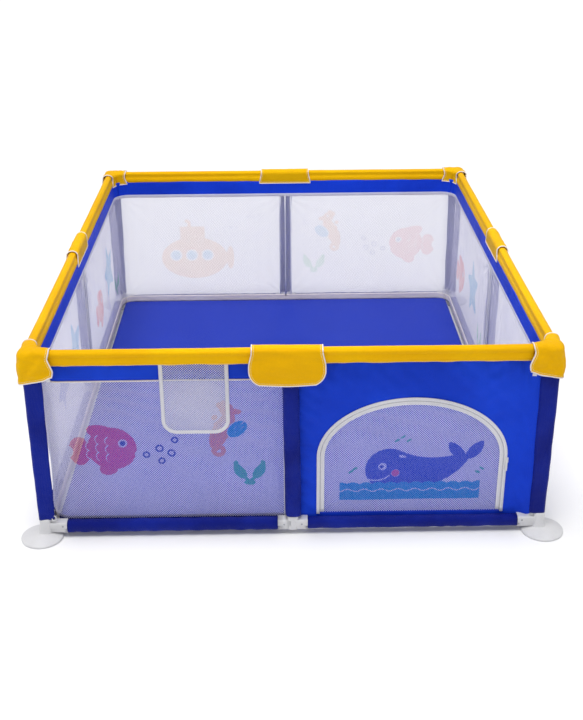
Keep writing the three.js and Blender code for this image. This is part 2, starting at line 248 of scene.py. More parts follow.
def tube(name, path, radius, material, body="frame", closed=False, sides=8, slot=None):
    """A round cord laid along a path, used for sewn piping."""
    path = np.asarray(path, float)
    if closed:
        ahead, behind = np.roll(path, -1, 0), np.roll(path, 1, 0)
    else:
        ahead = np.vstack([path[1:], path[-1:]])
        behind = np.vstack([path[:1], path[:-1]])
    along = ahead - behind
    along /= np.maximum(np.linalg.norm(along, axis=1, keepdims=True), 1e-9)
    side = np.cross(along, [0.03, 0.02, 1.0])
    bad = np.linalg.norm(side, axis=1) < 0.3
    side[bad] = np.cross(along[bad], [1.0, 0.3, 0.0])
    for i in range(1, len(side)):
        if np.dot(side[i], side[i - 1]) < 0:
            side[i] = -side[i]
    side /= np.linalg.norm(side, axis=1, keepdims=True)
    up = np.cross(side, along)
    angle = np.arange(sides) / sides * 2 * pi
    rings = path[:, None] + radius * (side[:, None] * np.cos(angle)[None, :, None]
        + up[:, None] * np.sin(angle)[None, :, None])
    return sweep(name, rings, material, body=body, closed=closed, slot=slot)


def joined(name, objs):
    """Several meshes as one piece that keeps their materials."""
    first = objs[0]
    with bpy.context.temp_override(active_object=first, object=first, selected_objects=objs,
            selected_editable_objects=objs):
        bpy.ops.object.join()
    first.name = name
    first.data.name = name
    return first


# ---------------------------------------------------------------- materials


class Tree:
    """A short way to write a node tree."""

    def __init__(self, name):
        self.material = bpy.data.materials.new(name)
        self.material.use_nodes = True
        self.nodes = self.material.node_tree.nodes
        self.links = self.material.node_tree.links
        self.shader = self.nodes["Principled BSDF"]
        self.coords = self.nodes.new("ShaderNodeTexCoord")

    def link(self, value, socket):
        if isinstance(value, bpy.types.NodeSocket):
            self.links.new(value, socket)
        else:
            socket.default_value = value

    def put(self, name, value):
        self.link(value, self.shader.inputs[name])

    def math(self, kind, a, b=0.0, c=0.0):
        n = self.nodes.new("ShaderNodeMath")
        n.operation = kind
        for value, socket in zip((a, b, c), n.inputs):
            self.link(value, socket)
        return n.outputs[0]

    def mix(self, share, a, b, kind="MIX"):
        n = self.nodes.new("ShaderNodeMix")
        n.data_type = "RGBA"
        n.blend_type = kind
        self.link(share, n.inputs["Factor"])
        self.link(a, n.inputs[6])
        self.link(b, n.inputs[7])
        return n.outputs[2]

    def attribute(self, key):
        n = self.nodes.new("ShaderNodeAttribute")
        n.attribute_name = key
        return n.outputs["Fac"]

    def noise(self, scale, detail=3.0, vector=None, stretch=None):
        n = self.nodes.new("ShaderNodeTexNoise")
        n.inputs["Scale"].default_value = scale
        n.inputs["Detail"].default_value = detail
        source = vector or self.coords.outputs["Object"]
        if stretch:
            m = self.nodes.new("ShaderNodeMapping")
            m.inputs["Scale"].default_value = stretch
            self.links.new(source, m.inputs["Vector"])
            source = m.outputs[0]
        self.links.new(source, n.inputs["Vector"])
        return n.outputs["Fac"]

    def ramp(self, value, low, high, a=0.0, b=1.0):
        n = self.nodes.new("ShaderNodeMapRange")
        n.interpolation_type = "SMOOTHSTEP"
        self.link(value, n.inputs["Value"])
        self.link(low, n.inputs["From Min"])
        self.link(high, n.inputs["From Max"])
        self.link(a, n.inputs["To Min"])
        self.link(b, n.inputs["To Max"])
        return n.outputs["Result"]

    def waves(self, pitch, vector=None):
        """Over-and-under weave height from three crossed sines, pitch in metres."""
        source = vector or self.coords.outputs["Object"]
        s = self.nodes.new("ShaderNodeSeparateXYZ")
        self.links.new(source, s.inputs[0])
        rate = 2 * pi / pitch
        parts = [self.math("SINE", self.math("MULTIPLY", o, rate)) for o in s.outputs]
        ab = self.math("MULTIPLY", parts[0], parts[1])
        bc = self.math("MULTIPLY", parts[1], parts[2])
        ca = self.math("MULTIPLY", parts[2], parts[0])
        return self.math("ADD", self.math("ADD", ab, bc), ca)

    def bump(self, height, strength, distance=0.001):
        n = self.nodes.new("ShaderNodeBump")
        n.inputs["Strength"].default_value = strength
        n.inputs["Distance"].default_value = distance
        self.link(height, n.inputs["Height"])
        self.links.new(n.outputs[0], self.shader.inputs["Normal"])


def cloth(name, colour, shade, pitch=0.0014, rough=0.72, sheen=0.15, wrinkle=26.0, depth=0.5, stitched=None,
        seam=0.006, puckered=0.4):
    """Woven fabric: thread weave, uneven dye, small creases, a soft sheen and, where asked, a row of
    stitches along each rim. The attributes rim and run are the distances from and along it."""
    t = Tree(name)
    patches = t.noise(5.0, 4.0)
    fine = t.noise(140.0, 2.0)
    weave = t.waves(pitch)
    base = t.mix(t.ramp(patches, 0.35, 0.65), (*shade, 1), (*colour, 1))
    thread = t.math("MULTIPLY_ADD", weave, 0.035, 1.0)
    grain = t.math("MULTIPLY", thread, t.ramp(fine, 0.2, 0.8, 0.98, 1.02))
    g = t.nodes.new("ShaderNodeCombineColor")
    for i in range(3):
        t.link(grain, g.inputs[i])
    dyed = t.mix(1.0, base, g.outputs[0], "MULTIPLY")
    sunk = 0.0
    if stitched:
        rim, run = (t.attribute(key) for key in ("rim", "run"))
        row = t.ramp(t.math("ABSOLUTE", t.math("SUBTRACT", rim, seam)), 0.0004, 0.0009, 1.0, 0.0)
        dash = t.ramp(t.math("ABSOLUTE", t.math("SUBTRACT",
            t.math("FRACT", t.math("MULTIPLY", run, 1 / STITCH)), 0.5)), 0.30, 0.36, 1.0, 0.0)
        thread = t.math("MULTIPLY", row, dash)
        dyed = t.mix(thread, dyed, (*stitched, 1))
        sunk = t.math("MULTIPLY", t.ramp(t.math("ABSOLUTE", t.math("SUBTRACT", rim, seam)), 0.0, 0.0022,
            1.0, 0.0), -1.2)
        sunk = t.math("ADD", sunk, thread)
    t.put("Base Color", dyed)
    t.put("Roughness", t.ramp(fine, 0.2, 0.8, rough - 0.07, rough + 0.07))
    t.put("Sheen Weight", sheen)
    t.put("Sheen Roughness", 0.4)
    t.put("Sheen Tint", (*[0.3 * c + 0.05 for c in colour], 1))
    t.put("Specular IOR Level", 0.3)
    t.put("Specular Tint", (*[0.75 * c + 0.12 for c in colour], 1))
    creases = t.math("ADD", t.noise(wrinkle, 1.5),
        t.math("MULTIPLY", t.noise(wrinkle * 0.3, 2.0, stretch=(1.0, 1.0, 2.2)), 2.6))
    height = t.math("ADD", t.math("MULTIPLY", creases, depth * 4), t.math("MULTIPLY", weave, 0.12))
    height = t.math("ADD", height, sunk)
    t.bump(height, puckered, 0.0012)
    return t.material


def moulded(name, colour, rough=0.35):
    """Moulded plastic: faint flow marks, fine grain and handling marks in the gloss."""
    t = Tree(name)
    flow = t.noise(18.0, 3.0)
    grain = t.noise(900.0, 2.0)
    dark = tuple(0.93 * c for c in colour)
    t.put("Base Color", t.mix(t.ramp(flow, 0.3, 0.7), (*dark, 1), (*colour, 1)))
    t.put("Roughness", t.ramp(flow, 0.3, 0.7, rough - 0.06, rough + 0.1))
    t.put("Specular IOR Level", 0.45)
    t.bump(t.math("ADD", grain, t.math("MULTIPLY", flow, 1.5)), 0.08, 0.0004)
    return t.material


def coated_tube(name):
    t = Tree(name)
    brushed = t.noise(60.0, 3.0, stretch=(8.0, 8.0, 1.0))
    t.put("Base Color", t.mix(t.ramp(brushed, 0.3, 0.7), (0.36, 0.37, 0.39, 1), (0.5, 0.51, 0.53, 1)))
    t.put("Metallic", 0.75)
    t.put("Roughness", t.ramp(brushed, 0.3, 0.7, 0.3, 0.45))
    t.bump(brushed, 0.08, 0.0004)
    return t.material


INK_HUES = {
    "coral": (0.72, 0.12, 0.26),
    "navy": (0.025, 0.06, 0.42),
    "indigo": (0.060, 0.110, 0.60),
    "amber": (0.80, 0.36, 0.20),
    "azure": (0.02, 0.36, 0.72),
    "teal": (0.08, 0.50, 0.36),
}


def netting(name, inks=(), pitch=0.007, hole=0.00206, colour=(0.72, 0.71, 0.92), inside=(0.93, 0.93, 0.97)):
    """Knitted mesh with staggered round holes, printed where an ink's distance is below zero. The inner face
    is painted a whiter tone than the outer face, painted light standing in for the brighter light inside the
    pen.
    """
    t = Tree(name)
    uv = t.nodes.new("ShaderNodeUVMap")
    uv.uv_map = "Cloth"
    s = t.nodes.new("ShaderNodeSeparateXYZ")
    t.links.new(uv.outputs[0], s.inputs[0])

    def gap(shift):
        parts = []
        for o in (s.outputs[0], s.outputs[1]):
            cell = t.math("FRACT", t.math("MULTIPLY_ADD", o, 1 / pitch, shift))
            parts.append(t.math("MULTIPLY", t.math("SUBTRACT", cell, 0.5), pitch))
        return t.math("SQRT", t.math("ADD", t.math("POWER", parts[0], 2.0), t.math("POWER", parts[1], 2.0)))

    near = t.math("MINIMUM", gap(40.0), gap(40.5))
    solid = t.ramp(near, hole - 0.00012, hole + 0.00012)
    painted_light_and_print_gain = t.attribute("painted_light_and_print_gain")
    body = t.mix(t.ramp(t.noise(9.0, 3.0), 0.3, 0.7), (*[0.94 * c for c in colour], 1), (*colour, 1))
    # Painted light: the inner face takes the whiter inside tone, the outer face keeps the lilac thread tone.
    body = t.mix(t.ramp(painted_light_and_print_gain, 0.4, 0.8), (*inside, 1), body)
    if inks:
        for ink in inks:
            cover = t.ramp(t.attribute(ink), -0.0005, 0.0005, 1.0, 0.0)
            body = t.mix(t.math("MULTIPLY", cover, painted_light_and_print_gain), body, (*INK_HUES[ink], 1))
    t.put("Base Color", body)
    through = t.nodes.new("ShaderNodeBsdfTranslucent")
    t.link(body, through.inputs["Color"])
    lit = t.nodes.new("ShaderNodeMixShader")
    lit.inputs[0].default_value = 0.42
    t.links.new(t.shader.outputs[0], lit.inputs[1])
    t.links.new(through.outputs[0], lit.inputs[2])
    open_or_thread = t.nodes.new("ShaderNodeMixShader")
    t.link(solid, open_or_thread.inputs[0])
    t.links.new(t.nodes.new("ShaderNodeBsdfTransparent").outputs[0], open_or_thread.inputs[1])
    t.links.new(lit.outputs[0], open_or_thread.inputs[2])
    t.links.new(open_or_thread.outputs[0], t.nodes["Material Output"].inputs["Surface"])
    t.put("Roughness", t.ramp(t.noise(120.0), 0.2, 0.8, 0.62, 0.78))
    t.put("Specular IOR Level", 0.25)
    thread = t.ramp(near, hole, pitch * 0.36)
    t.bump(thread, 0.5, 0.0006)
    return t.material


YELLOW = cloth("Yellow_oxford", (0.89, 0.500, 0.002), (0.85, 0.45, 0.002), rough=0.6, sheen=0.05,
    wrinkle=20.0, depth=0.8, puckered=0.6, stitched=(0.95, 0.8, 0.35))
ROYAL = cloth("Royal_oxford", (0.012, 0.065, 0.72), (0.010, 0.050, 0.60), rough=0.6, sheen=0.04,
    wrinkle=20.0, depth=0.8, puckered=0.6)
NAVY = cloth("Navy_oxford", (0.009, 0.022, 0.30), (0.006, 0.012, 0.19), rough=0.46, sheen=0.04,
    wrinkle=24.0, depth=0.7, puckered=0.75)
MAT = cloth("Mat_satin", (0.016, 0.040, 0.40), (0.0152, 0.038, 0.385), rough=0.5, sheen=0.06, wrinkle=5.0,
    depth=0.08)
PIPING = cloth("White_piping", (0.88, 0.82, 0.80), (0.80, 0.73, 0.71), pitch=0.0022, rough=0.7,
    wrinkle=80.0)
TAPE = cloth("White_tape", (0.74, 0.74, 0.79), (0.66, 0.66, 0.72), pitch=0.0018, rough=0.66, wrinkle=60.0,
    stitched=(0.9, 0.9, 0.9), seam=0.0022)
TEETH = moulded("Zip_teeth", (0.62, 0.62, 0.65), 0.4)
PLASTIC = moulded("White_moulding", (0.72, 0.72, 0.74), 0.34)
TUBE = coated_tube("Coated_tube")
SCREW = moulded("Screw_heads", (0.42, 0.43, 0.46), 0.3)
NET = netting("White_net")
NET_PRINTED = netting("White_net_printed", tuple(INK_HUES))


# ---------------------------------------------------------------- prints


def circle(x, z, cx, cz, r):
    return np.hypot(x - cx, z - cz) - r


def ellipse(x, z, cx, cz, a, b, tilt=0.0):
    c, s = math.cos(tilt), math.sin(tilt)
    px, pz = (x - cx) * c + (z - cz) * s, (z - cz) * c - (x - cx) * s
    k0 = np.hypot(px / a, pz / b)
    k1 = np.hypot(px / a**2, pz / b**2)
    return k0 * (k0 - 1) / np.maximum(k1, 1e-6)


def stroke(x, z, curve, width, count=48):
    """Round brush along curve(t) -> (x, z) of half-width width(t)."""
    best = np.full(np.shape(x), 9.0)
    for t in np.linspace(0, 1, count):
        cx, cz = curve(t)
        best = np.minimum(best, np.hypot(x - cx, z - cz) - width(t))
    return best


def polygon(x, z, corners):
    best = np.full(np.shape(x), 9.0)
    inside = np.zeros(np.shape(x), bool)
    for (ax, az), (bx, bz) in zip(corners, corners[1:] + corners[:1]):
        dx, dz = bx - ax, bz - az
        t = np.clip(((x - ax) * dx + (z - az) * dz) / (dx * dx + dz * dz), 0, 1)
        best = np.minimum(best, np.hypot(x - ax - t * dx, z - az - t * dz))
        cross = ((az > z) != (bz > z)) & (x < (bx - ax) * (z - az) / (bz - az + 1e-12) + ax)
        inside ^= cross
    return np.where(inside, -best, best)


def blank(x):
    return {key: np.full(np.shape(x), 9.0) for key in INK_HUES}


def add(inks, key, shape):
    inks[key] = np.minimum(inks[key], shape)


def cut(inks, key, shape):
    inks[key] = np.maximum(inks[key], -shape)


def fish(inks, x, z, cx, cz, size, face=1, hue="coral"):
    px, pz = (x - cx) * face / size, (z - cz) / size
    body = ellipse(px, pz, 0.12, 0.02, 0.38, 0.37)
    mouth = circle(px, pz, 0.55, -0.09, 0.085)
    body = np.maximum(body, -mouth)
    fan = np.maximum(ellipse(px, pz, -0.38, -0.02, 0.17, 0.25), -circle(px, pz, -0.60, -0.02, 0.12))
    fins = np.minimum(ellipse(px, pz, -0.02, 0.31, 0.24, 0.12, -0.25),
        ellipse(px, pz, 0.05, -0.33, 0.15, 0.12, 0.4))
    add(inks, hue, np.minimum(np.minimum(body, fan), fins) * size)
    for k in range(3):
        for j in range(-1, 2):
            reach = circle(px, pz, 0.10 - 0.15 * k, 0.15 * j + 0.03 * k, 0.082)
            scale = np.maximum(np.abs(reach) - 0.009, px - 0.07 + 0.15 * k)
            cut(inks, hue, scale * size)
    cut(inks, hue, circle(px, pz, 0.29, 0.11, 0.072) * size)
    add(inks, "navy", circle(px, pz, 0.29, 0.11, 0.044) * size)


def bubbles(inks, x, z, cx, cz, side=1):
    """Five rings that rise to the right, in metres from the first."""
    for k, (bx, bz) in enumerate(((0.0, 0.0), (0.039, 0.020), (0.044, -0.021), (0.073, 0.004),
            (0.084, 0.047))):
        add(inks, "navy", np.abs(circle(x, z, cx + side * bx, cz + bz, 0.0085 + 0.0012 * (k % 2))) - 0.0025)


def pony(inks, x, z, cx, cz, size, face=1):
    """A curled-tail sea pony with a crest and one fin."""
    px, pz = (x - cx) * face / size, (z - cz) / size

    def spine(t):
        if t < 0.62:
            f = t / 0.62
            return 0.11 * math.cos(3.3 * f) - 0.02, 0.36 - 0.62 * f
        a = (t - 0.62) / 0.38 * 4.4
        r = 0.105 - 0.014 * a
        return -0.03 - r * math.cos(a) * 0.9 - 0.04, -0.28 - r * math.sin(a)

    body = stroke(px, pz, spine, lambda t: 0.036
        + 0.10 * math.sin(pi * min(1, t / 0.62)) ** 0.7 * (t < 0.62), 60)
    head = np.minimum(circle(px, pz, 0.05, 0.40, 0.105), ellipse(px, pz, 0.18, 0.365, 0.09, 0.045, -0.2))
    crest = np.minimum(circle(px, pz, -0.05, 0.47, 0.05), circle(px, pz, 0.02, 0.51, 0.045))
    add(inks, "amber", np.minimum(np.minimum(body, head), crest) * size)
    for k in range(4):
        spot = circle(px, pz, -0.13 + 0.03 * math.sin(2.0 * k), 0.27 - 0.12 * k, 0.045)
        add(inks, "amber", spot * size)
    fin = ellipse(px, pz, 0.20, 0.07, 0.17, 0.11, 0.7)
    add(inks, "azure", fin * size)
    cut(inks, "amber", (fin - 0.012) * size)
    for k in (-1, 1):
        cut(inks, "azure", stroke(px, pz, lambda t, k=k: (0.14 + 0.16 * t, 0.03 + 0.12 * t + 0.035 * k),
            lambda t: 0.007, 10) * size)
    cut(inks, "amber", circle(px, pz, 0.07, 0.42, 0.026) * size)


def weed(inks, x, z, cx, cz, size):
    px, pz = (x - cx) / size, (z - cz) / size
    for lean in (-1, 1):
        arm = stroke(px, pz, lambda t, lean=lean: (lean * 0.38 * math.sin(1.5 * t), -0.38 + 0.62 * t),
            lambda t: 0.045 + 0.09 * math.sin(pi * t) ** 2 * (t > 0.35) + 0.02 * t, 30)
        add(inks, "teal", arm * size)
    add(inks, "teal", ellipse(px, pz, 0.0, -0.40, 0.16, 0.09) * size)


def star(inks, x, z, cx, cz, size, hue, lean=0.3):
    tips = []
    for k in range(10):
        r = size * (0.5 if k % 2 == 0 else 0.24)
        tips.append((cx + r * math.sin(lean + k * pi / 5), cz + r * math.cos(lean + k * pi / 5)))
    add(inks, hue, polygon(x, z, tips) - 0.008)


def diver(inks, x, z, cx, cz, size, face=1):
    """A rounded little submarine with three portholes."""
    px, pz = (x - cx) * face / size, (z - cz) / size
    hull = ellipse(px, pz, 0.0, -0.12, 0.46, 0.30)
    tower = np.maximum(np.abs(px - 0.02) - 0.15, np.abs(pz - 0.20) - 0.12) - 0.02
    scope = stroke(px, pz, lambda t: (0.06 + 0.10 * max(0, t - 0.6), 0.32 + 0.14 * min(t, 0.7)),
        lambda t: 0.022, 20)
    screw = ellipse(px, pz, -0.50, -0.12, 0.05, 0.17)
    add(inks, "amber", np.minimum(np.minimum(hull, tower), np.minimum(scope, screw)) * size)
    for k in (-1, 0, 1):
        cut(inks, "amber", circle(px, pz, 0.22 * k + 0.04, -0.08, 0.085) * size)
        add(inks, "azure", circle(px, pz, 0.22 * k + 0.04, -0.08, 0.066) * size)


def gulls(inks, x, z, cx, cz):
    for k in range(2):
        bx, bz = cx + 0.10 * k, cz - 0.045 * k
        wing = stroke(x, z,
            lambda t, bx=bx, bz=bz: (bx + 0.03 * (2 * t - 1), bz + 0.012 * abs(math.sin(2 * pi * t))),
            lambda t: 0.0022, 24)
        add(inks, "navy", wing)


def whale(inks, x, z):
    """A big round-headed whale facing left behind a strip of waves. x is from the door's middle and z
    from the floor."""

    def back(t):
        return -0.066 + 0.222 * t, 0.203 - 0.075 * t + 0.112 * t * t

    body = stroke(x, z, back, lambda t: 0.062 * (1 - t) ** 0.62 + 0.008, 70)
    for tx, tz in ((0.112, 0.286), (0.203, 0.290)):
        petal = stroke(x, z,
            lambda t, tx=tx, tz=tz: (0.157 + (tx - 0.157) * t, 0.240 + (tz - 0.240) * t**1.4),
            lambda t: 0.006 + 0.011 * math.sin(pi * t**1.3), 24)
        body = np.minimum(body, petal)
    sea = 0.154 + 0.006 * np.abs(np.sin((x + 0.004) * pi / 0.037))
    add(inks, "indigo", np.maximum(body, sea - z))
    cut(inks, "indigo", ellipse(x, z, -0.028, 0.246, 0.011, 0.004, -0.15))
    mouth = np.maximum(np.abs(circle(x, z, -0.105, 0.228, 0.062)) - 0.0022, z - 0.186)
    cut(inks, "indigo", np.maximum(mouth, x + 0.062))
    cut(inks, "indigo", circle(x, z, -0.086, 0.213, 0.0125))
    add(inks, "navy", circle(x, z, -0.088, 0.212, 0.006))
    cut(inks, "indigo", circle(x, z, -0.047, 0.190, 0.0125))
    add(inks, "coral", circle(x, z, -0.047, 0.190, 0.0115))
    water = np.maximum(np.maximum(z - sea, 0.099 - z), np.abs(x + 0.003) - 0.208)
    crest = 0.132 + 0.004 * np.sin(x * 2 * pi / 0.05)
    add(inks, "azure", np.maximum(water, -(np.abs(z - crest) - 0.0020)))
    for dx, dz in ((-0.045, 0.300), (-0.028, 0.312), (-0.011, 0.300), (-0.178, 0.196), (-0.166, 0.207),
            (0.196, 0.190), (0.208, 0.202)):
        add(inks, "teal", ellipse(x, z, dx, dz, 0.009, 0.0036, 0.5 if dx < 0 else -0.5))


def prints_a(inks, x, z, side=1):
    """Fish, bubbles, sea pony and weed, as on the left bay of the front wall."""
    fish(inks, x, z, -0.190 * side, 0.006, 0.188, side)
    bubbles(inks, x, z, -0.069 * side, -0.012, side)
    pony(inks, x, z, 0.158 * side, 0.055, 0.195, side)
    weed(inks, x, z, 0.230 * side, -0.068, 0.105)


def prints_b(inks, x, z):
    diver(inks, x, z, 0.04, -0.01, 0.31, 1)
    gulls(inks, x, z, -0.22, 0.13)


def prints_c(inks, x, z):
    star(inks, x, z, -0.12, 0.02, 0.20, "azure", 0.2)
    fish(inks, x, z, 0.16, -0.03, 0.17, -1, "coral")
    weed(inks, x, z, -0.30, -0.10, 0.11)


def prints_d(inks, x, z):
    star(inks, x, z, -0.15, 0.05, 0.19, "azure", 0.2)
    star(inks, x, z, 0.09, 0.04, 0.15, "indigo", 0.5)


# ---------------------------------------------------------------- liner, bands and nets


def liner(name, s, z, offset=0.0):
    """A point of the wall's inner liner. s is the length along it from the wall's middle; the ends
    round into the corners. offset is inward."""
    s, z = np.broadcast_arrays(np.asarray(s, float), np.asarray(z, float))
    straight = WALLS[name]["half"] - SHEET_IN - CORNER_R
    beyond = np.maximum(np.abs(s) - straight, 0)
    a = beyond / CORNER_R
    r = CORNER_R - offset
    u = np.sign(s) * (np.minimum(np.abs(s), straight) + r * np.sin(a))
    return on_wall(name, u, SHEET_IN + offset + r * (1 - np.cos(a)), z)


WRAP = CORNER_R * pi / 4


def liner_end(name):
    return WALLS[name]["half"] - SHEET_IN - CORNER_R + CORNER_R * pi / 4


def pull(s, z, left, right, low, high, seed):
    """Inward ripples of a net held by its edges: broad waves, upright folds by the posts and fans at
    the corners."""
    wave = 0.0010 * ripple(s, z, seed, 2.2, 5)
    post = np.exp(-np.minimum(s - left, right - s) / 0.09)
    wave = wave + 0.0012 * post * np.sin(2 * pi * s / 0.055 + 1.4 * np.sin(z * 9 + seed) + seed)
    fans = 0
    for cs, cz in ((left, low), (right, low), (left, high), (right, high)):
        r = np.hypot(s - cs, z - cz)
        angle = np.arctan2(np.abs(z - cz), np.abs(s - cs) + 1e-9)
        fans = fans + np.sin(angle * 15 + seed) * np.exp(-r / 0.10) * smooth(r / 0.03)
    rim = smooth(np.minimum(np.minimum(s - left, right - s), np.minimum(z - low, high - z)) / 0.03)
    return (wave + 0.0022 * fans) * rim


def net_panel(name, wall, s0, s1, z0, z1, draw, seed, keep=None, cell=NET_GRID, body="frame", loose=1.0):
    cols = max(2, int(round((s1 - s0) / cell)) + 1)
    rows = max(2, int(round((z1 - z0) / cell)) + 1)
    s, z = np.meshgrid(np.linspace(s0, s1, cols), np.linspace(z0, z1, rows))
    inward = pull(s, z, s0, s1, z0, z1, seed) * loose
    ink = blank(s)
    if draw:
        draw(ink, s - (s0 + s1) / 2, z - (z0 + z1) / 2)
    outer = liner(wall, s, z, inward)
    inner = liner(wall, s, z, inward + NET_THICK)
    uv = np.stack([s, z], -1)
    inks = {key: np.concatenate([value.ravel()] * 2) for key, value in ink.items()}
    # Face weight: 1 on the outer face, 0.26 on the inner face, which gets the painted lighter tone and a
    # fainter print.
    inks["painted_light_and_print_gain"] = np.concatenate([np.ones(s.size), np.full(s.size, 0.26)])
    inside = np.ones(s.size, bool) if keep is None else keep(s, z).ravel()
    return two_layers(name, outer, inner, lambda f: inside[f].all(), NET_PRINTED if draw else NET,
        body=body, uv=uv, inks=inks if draw else None)


def strip(name, wall, s, low, high, thick, offset, material, body="frame", wobble=0.0, seed=1, slot=None):
    """A flat sewn band along the liner, closed, between heights low and high."""
    s = np.asarray(s)
    low = np.broadcast_to(low, s.shape)
    high = np.broadcast_to(high, s.shape)
    rings = []
    levels = 6
    bend = wobble * ripple(s, s * 0, seed, 3.0, 5)
    for k in range(levels + 1):
        z = low + (high - low) * k / levels
        rings.append(liner(wall, s, z, offset - thick / 2 + bend * math.sin(pi * k / levels + 0.4)))
    for k in range(levels, -1, -1):
        z = low + (high - low) * k / levels
        rings.append(liner(wall, s, z, offset + thick / 2 + bend * math.sin(pi * k / levels + 0.4)))
    rings = np.stack(rings, 1)
    share = np.concatenate([np.arange(levels + 1), np.arange(levels, -1, -1)]) / levels
    across = np.minimum(share, 1 - share) * float((high - low).mean())
    return sweep(name, rings, material, body=body, slot=slot, across=across)


def arch_half(z, half, top):
    """Half-width of an arch at height z."""
    rise = top - DOOR_SHOULDER
    t = np.clip((z - DOOR_SHOULDER) / rise, 0, 1)
    return half * np.sqrt(np.maximum(1 - t * t, 0))


def inside_arch(s, z, half, top):
    return (np.abs(s - DOOR_X) <= arch_half(z, half, top) + 1e-9) & (z <= top)


def arch_path(half, top, low, count=72):
    """Points (s, z) from the right foot over the top to the left foot, evenly spaced."""
    legs = np.linspace(low, DOOR_SHOULDER, 14)[:-1]
    angle = np.linspace(0, pi, count)
    s = np.concatenate([np.full(13, DOOR_X + half), DOOR_X + half * np.cos(angle),
        np.full(13, DOOR_X - half)])
    z = np.concatenate([legs, DOOR_SHOULDER + (top - DOOR_SHOULDER) * np.sin(angle), legs[::-1]])
    return s, z


def arch_band(name, half0, half1, low, offset, thick, material, body, slot=None):
    """A flat tape that follows the arch between two half-widths."""
    s0, z0 = arch_path(half0, DOOR_TOP + half0 - ZIP_HALF, low)
    s1, z1 = arch_path(half1, DOOR_TOP + half1 - ZIP_HALF, low)
    rings = []
    for k in range(4):
        t = k / 3
        crown = thick * 0.5 * math.sin(pi * t)
        rings.append(liner("front", s0 + (s1 - s0) * t, z0 + (z1 - z0) * t, offset - thick / 2 - crown))
    for k in (3, 2, 1, 0):
        t = k / 3
        rings.append(liner("front", s0 + (s1 - s0) * t, z0 + (z1 - z0) * t, offset + thick / 2))
    share = np.array([0, 1, 2, 3, 3, 2, 1, 0]) / 3
    across = np.minimum(share, 1 - share) * abs(half1 - half0)
    return sweep(name, np.stack(rings, 1), material, body=body, slot=slot, across=across)


for number, wall in enumerate(WALLS):
    half, end = WALLS[wall]["half"], liner_end(wall)
    begin = 0.02 - WRAP - end if wall == "right" else -end
    if wall == "front":
        net = net_panel("net_front", wall, -end, -0.004, MESH_LOW, BAND_LOW, prints_a, 11, cell=PRINT_GRID)
    else:
        picks = {"right": (prints_c, prints_c), "back": (prints_a, prints_b),
            "left": (prints_c, prints_d)}[wall]
        for tag, s0, s1, draw in (("a", begin, 0.0, picks[0]), ("b", 0.0, end, picks[1])):
            loose = 1.0 if wall == "back" else 2.4
            seed = 17 + 5 * number + (tag == "b")
            net = net_panel(f"net_{wall}_{tag}", wall, s0, s1, MESH_LOW, BAND_LOW, draw, seed, loose=loose)
    s = np.linspace(begin, end if wall != "front" else 0.0, 120)
    band = strip(f"band_{wall}", wall, s, BAND_LOW, RAIL_TURN_IN, 0.0016, 0.0012, ROYAL, wobble=0.0007,
        seed=number + 3)
    edge = liner(wall, s, BAND_LOW - 0.001 + 0.0006 * ripple(s, s * 0, number + 40, 3.0, 4), 0.0002)
    tube(f"band_piping_{wall}", edge, 0.0026, PIPING, slot="wall_fabric")
    s = np.linspace(begin, end if wall != "front" else -0.01, 100)
    edging = NAVY if wall == "front" else PIPING
    strip(f"hem_{wall}", wall, s, MESH_LOW - 0.018, MESH_LOW + 0.008, 0.0022, 0.0026, edging,
        slot="wall_fabric")
    s = np.linspace(begin, end if wall != "front" else 0.0, 140)
    strip(f"inner_tape_{wall}", wall, s, BAND_LOW + 0.0005, BAND_LOW + 0.010, 0.0012, 0.0030, TAPE,
        slot="wall_fabric")
    s = np.array([-0.003, 0.0, 0.003])
    strip(f"post_ribbon_{wall}", wall, s, MESH_LOW, BAND_LOW, 0.0010, 0.0032, TAPE, slot="wall_fabric")
    for tag, u in (("a", -0.023), ("b", 0.023)):
        if wall == "front" and tag == "b":
            continue
        s = np.array([u - 0.0025, u, u + 0.0025])
        strip(f"post_seam_{wall}_{tag}", wall, s, MESH_LOW, BAND_LOW, 0.0024, 0.0006, TAPE,
            slot="wall_fabric")


# The front wall's right bay: a solid fabric panel with the door's arch cut out
end = liner_end("front") + WRAP
cell = PANEL_GRID
sill = DOOR_SILL - 0.0035
levels = np.concatenate([np.linspace(MESH_LOW - 0.004, sill, 4)[:-1],
    np.linspace(sill, RAIL_TURN_IN, int((RAIL_TURN_IN - sill) / cell) + 1)])
cols, rows = int(end / cell) + 1, len(levels)
s, z = np.meshgrid(np.linspace(0.0, end, cols), levels)
hollow = inside_arch(s, z, ZIP_HALF + 0.001, DOOR_TOP + 0.001) & (z > sill - 0.0001)
drag = 0.0020 * ripple(s, z, 91, 2.0, 6) + 0.0016 * ripple(s + z, (z - s) * 0.25, 92, 7.0, 4)
under_rail = np.maximum(RAIL_LOW - 0.002 - z, 0)
drag = drag + 0.0026 * np.sin(2 * pi * s / 0.036
    + 2.2 * np.sin(9 * s)) * np.exp(-under_rail / 0.05) * smooth(under_rail / 0.02)
drag = drag + 0.0024 * np.sin(2 * pi * (z + 0.5 * s) / 0.043 + 1.6 * np.sin(7 * z)) * np.exp(-s / 0.08)
drag = drag + 0.0018 * np.sin(2 * pi * (z - 0.6 * s) / 0.05
    + 1.6 * np.sin(8 * z)) * np.exp(-np.abs(s - end + 0.17) / 0.04)
above = np.maximum(z - DOOR_SHOULDER, 0) / (DOOR_TOP - DOOR_SHOULDER)
off_arch = (np.hypot((s - DOOR_X) / ZIP_HALF, above) - 1) * ZIP_HALF
drag = drag * (0.2 + 0.8 * smooth((off_arch - 0.008) / 0.03)) * smooth((end - s) / 0.05)


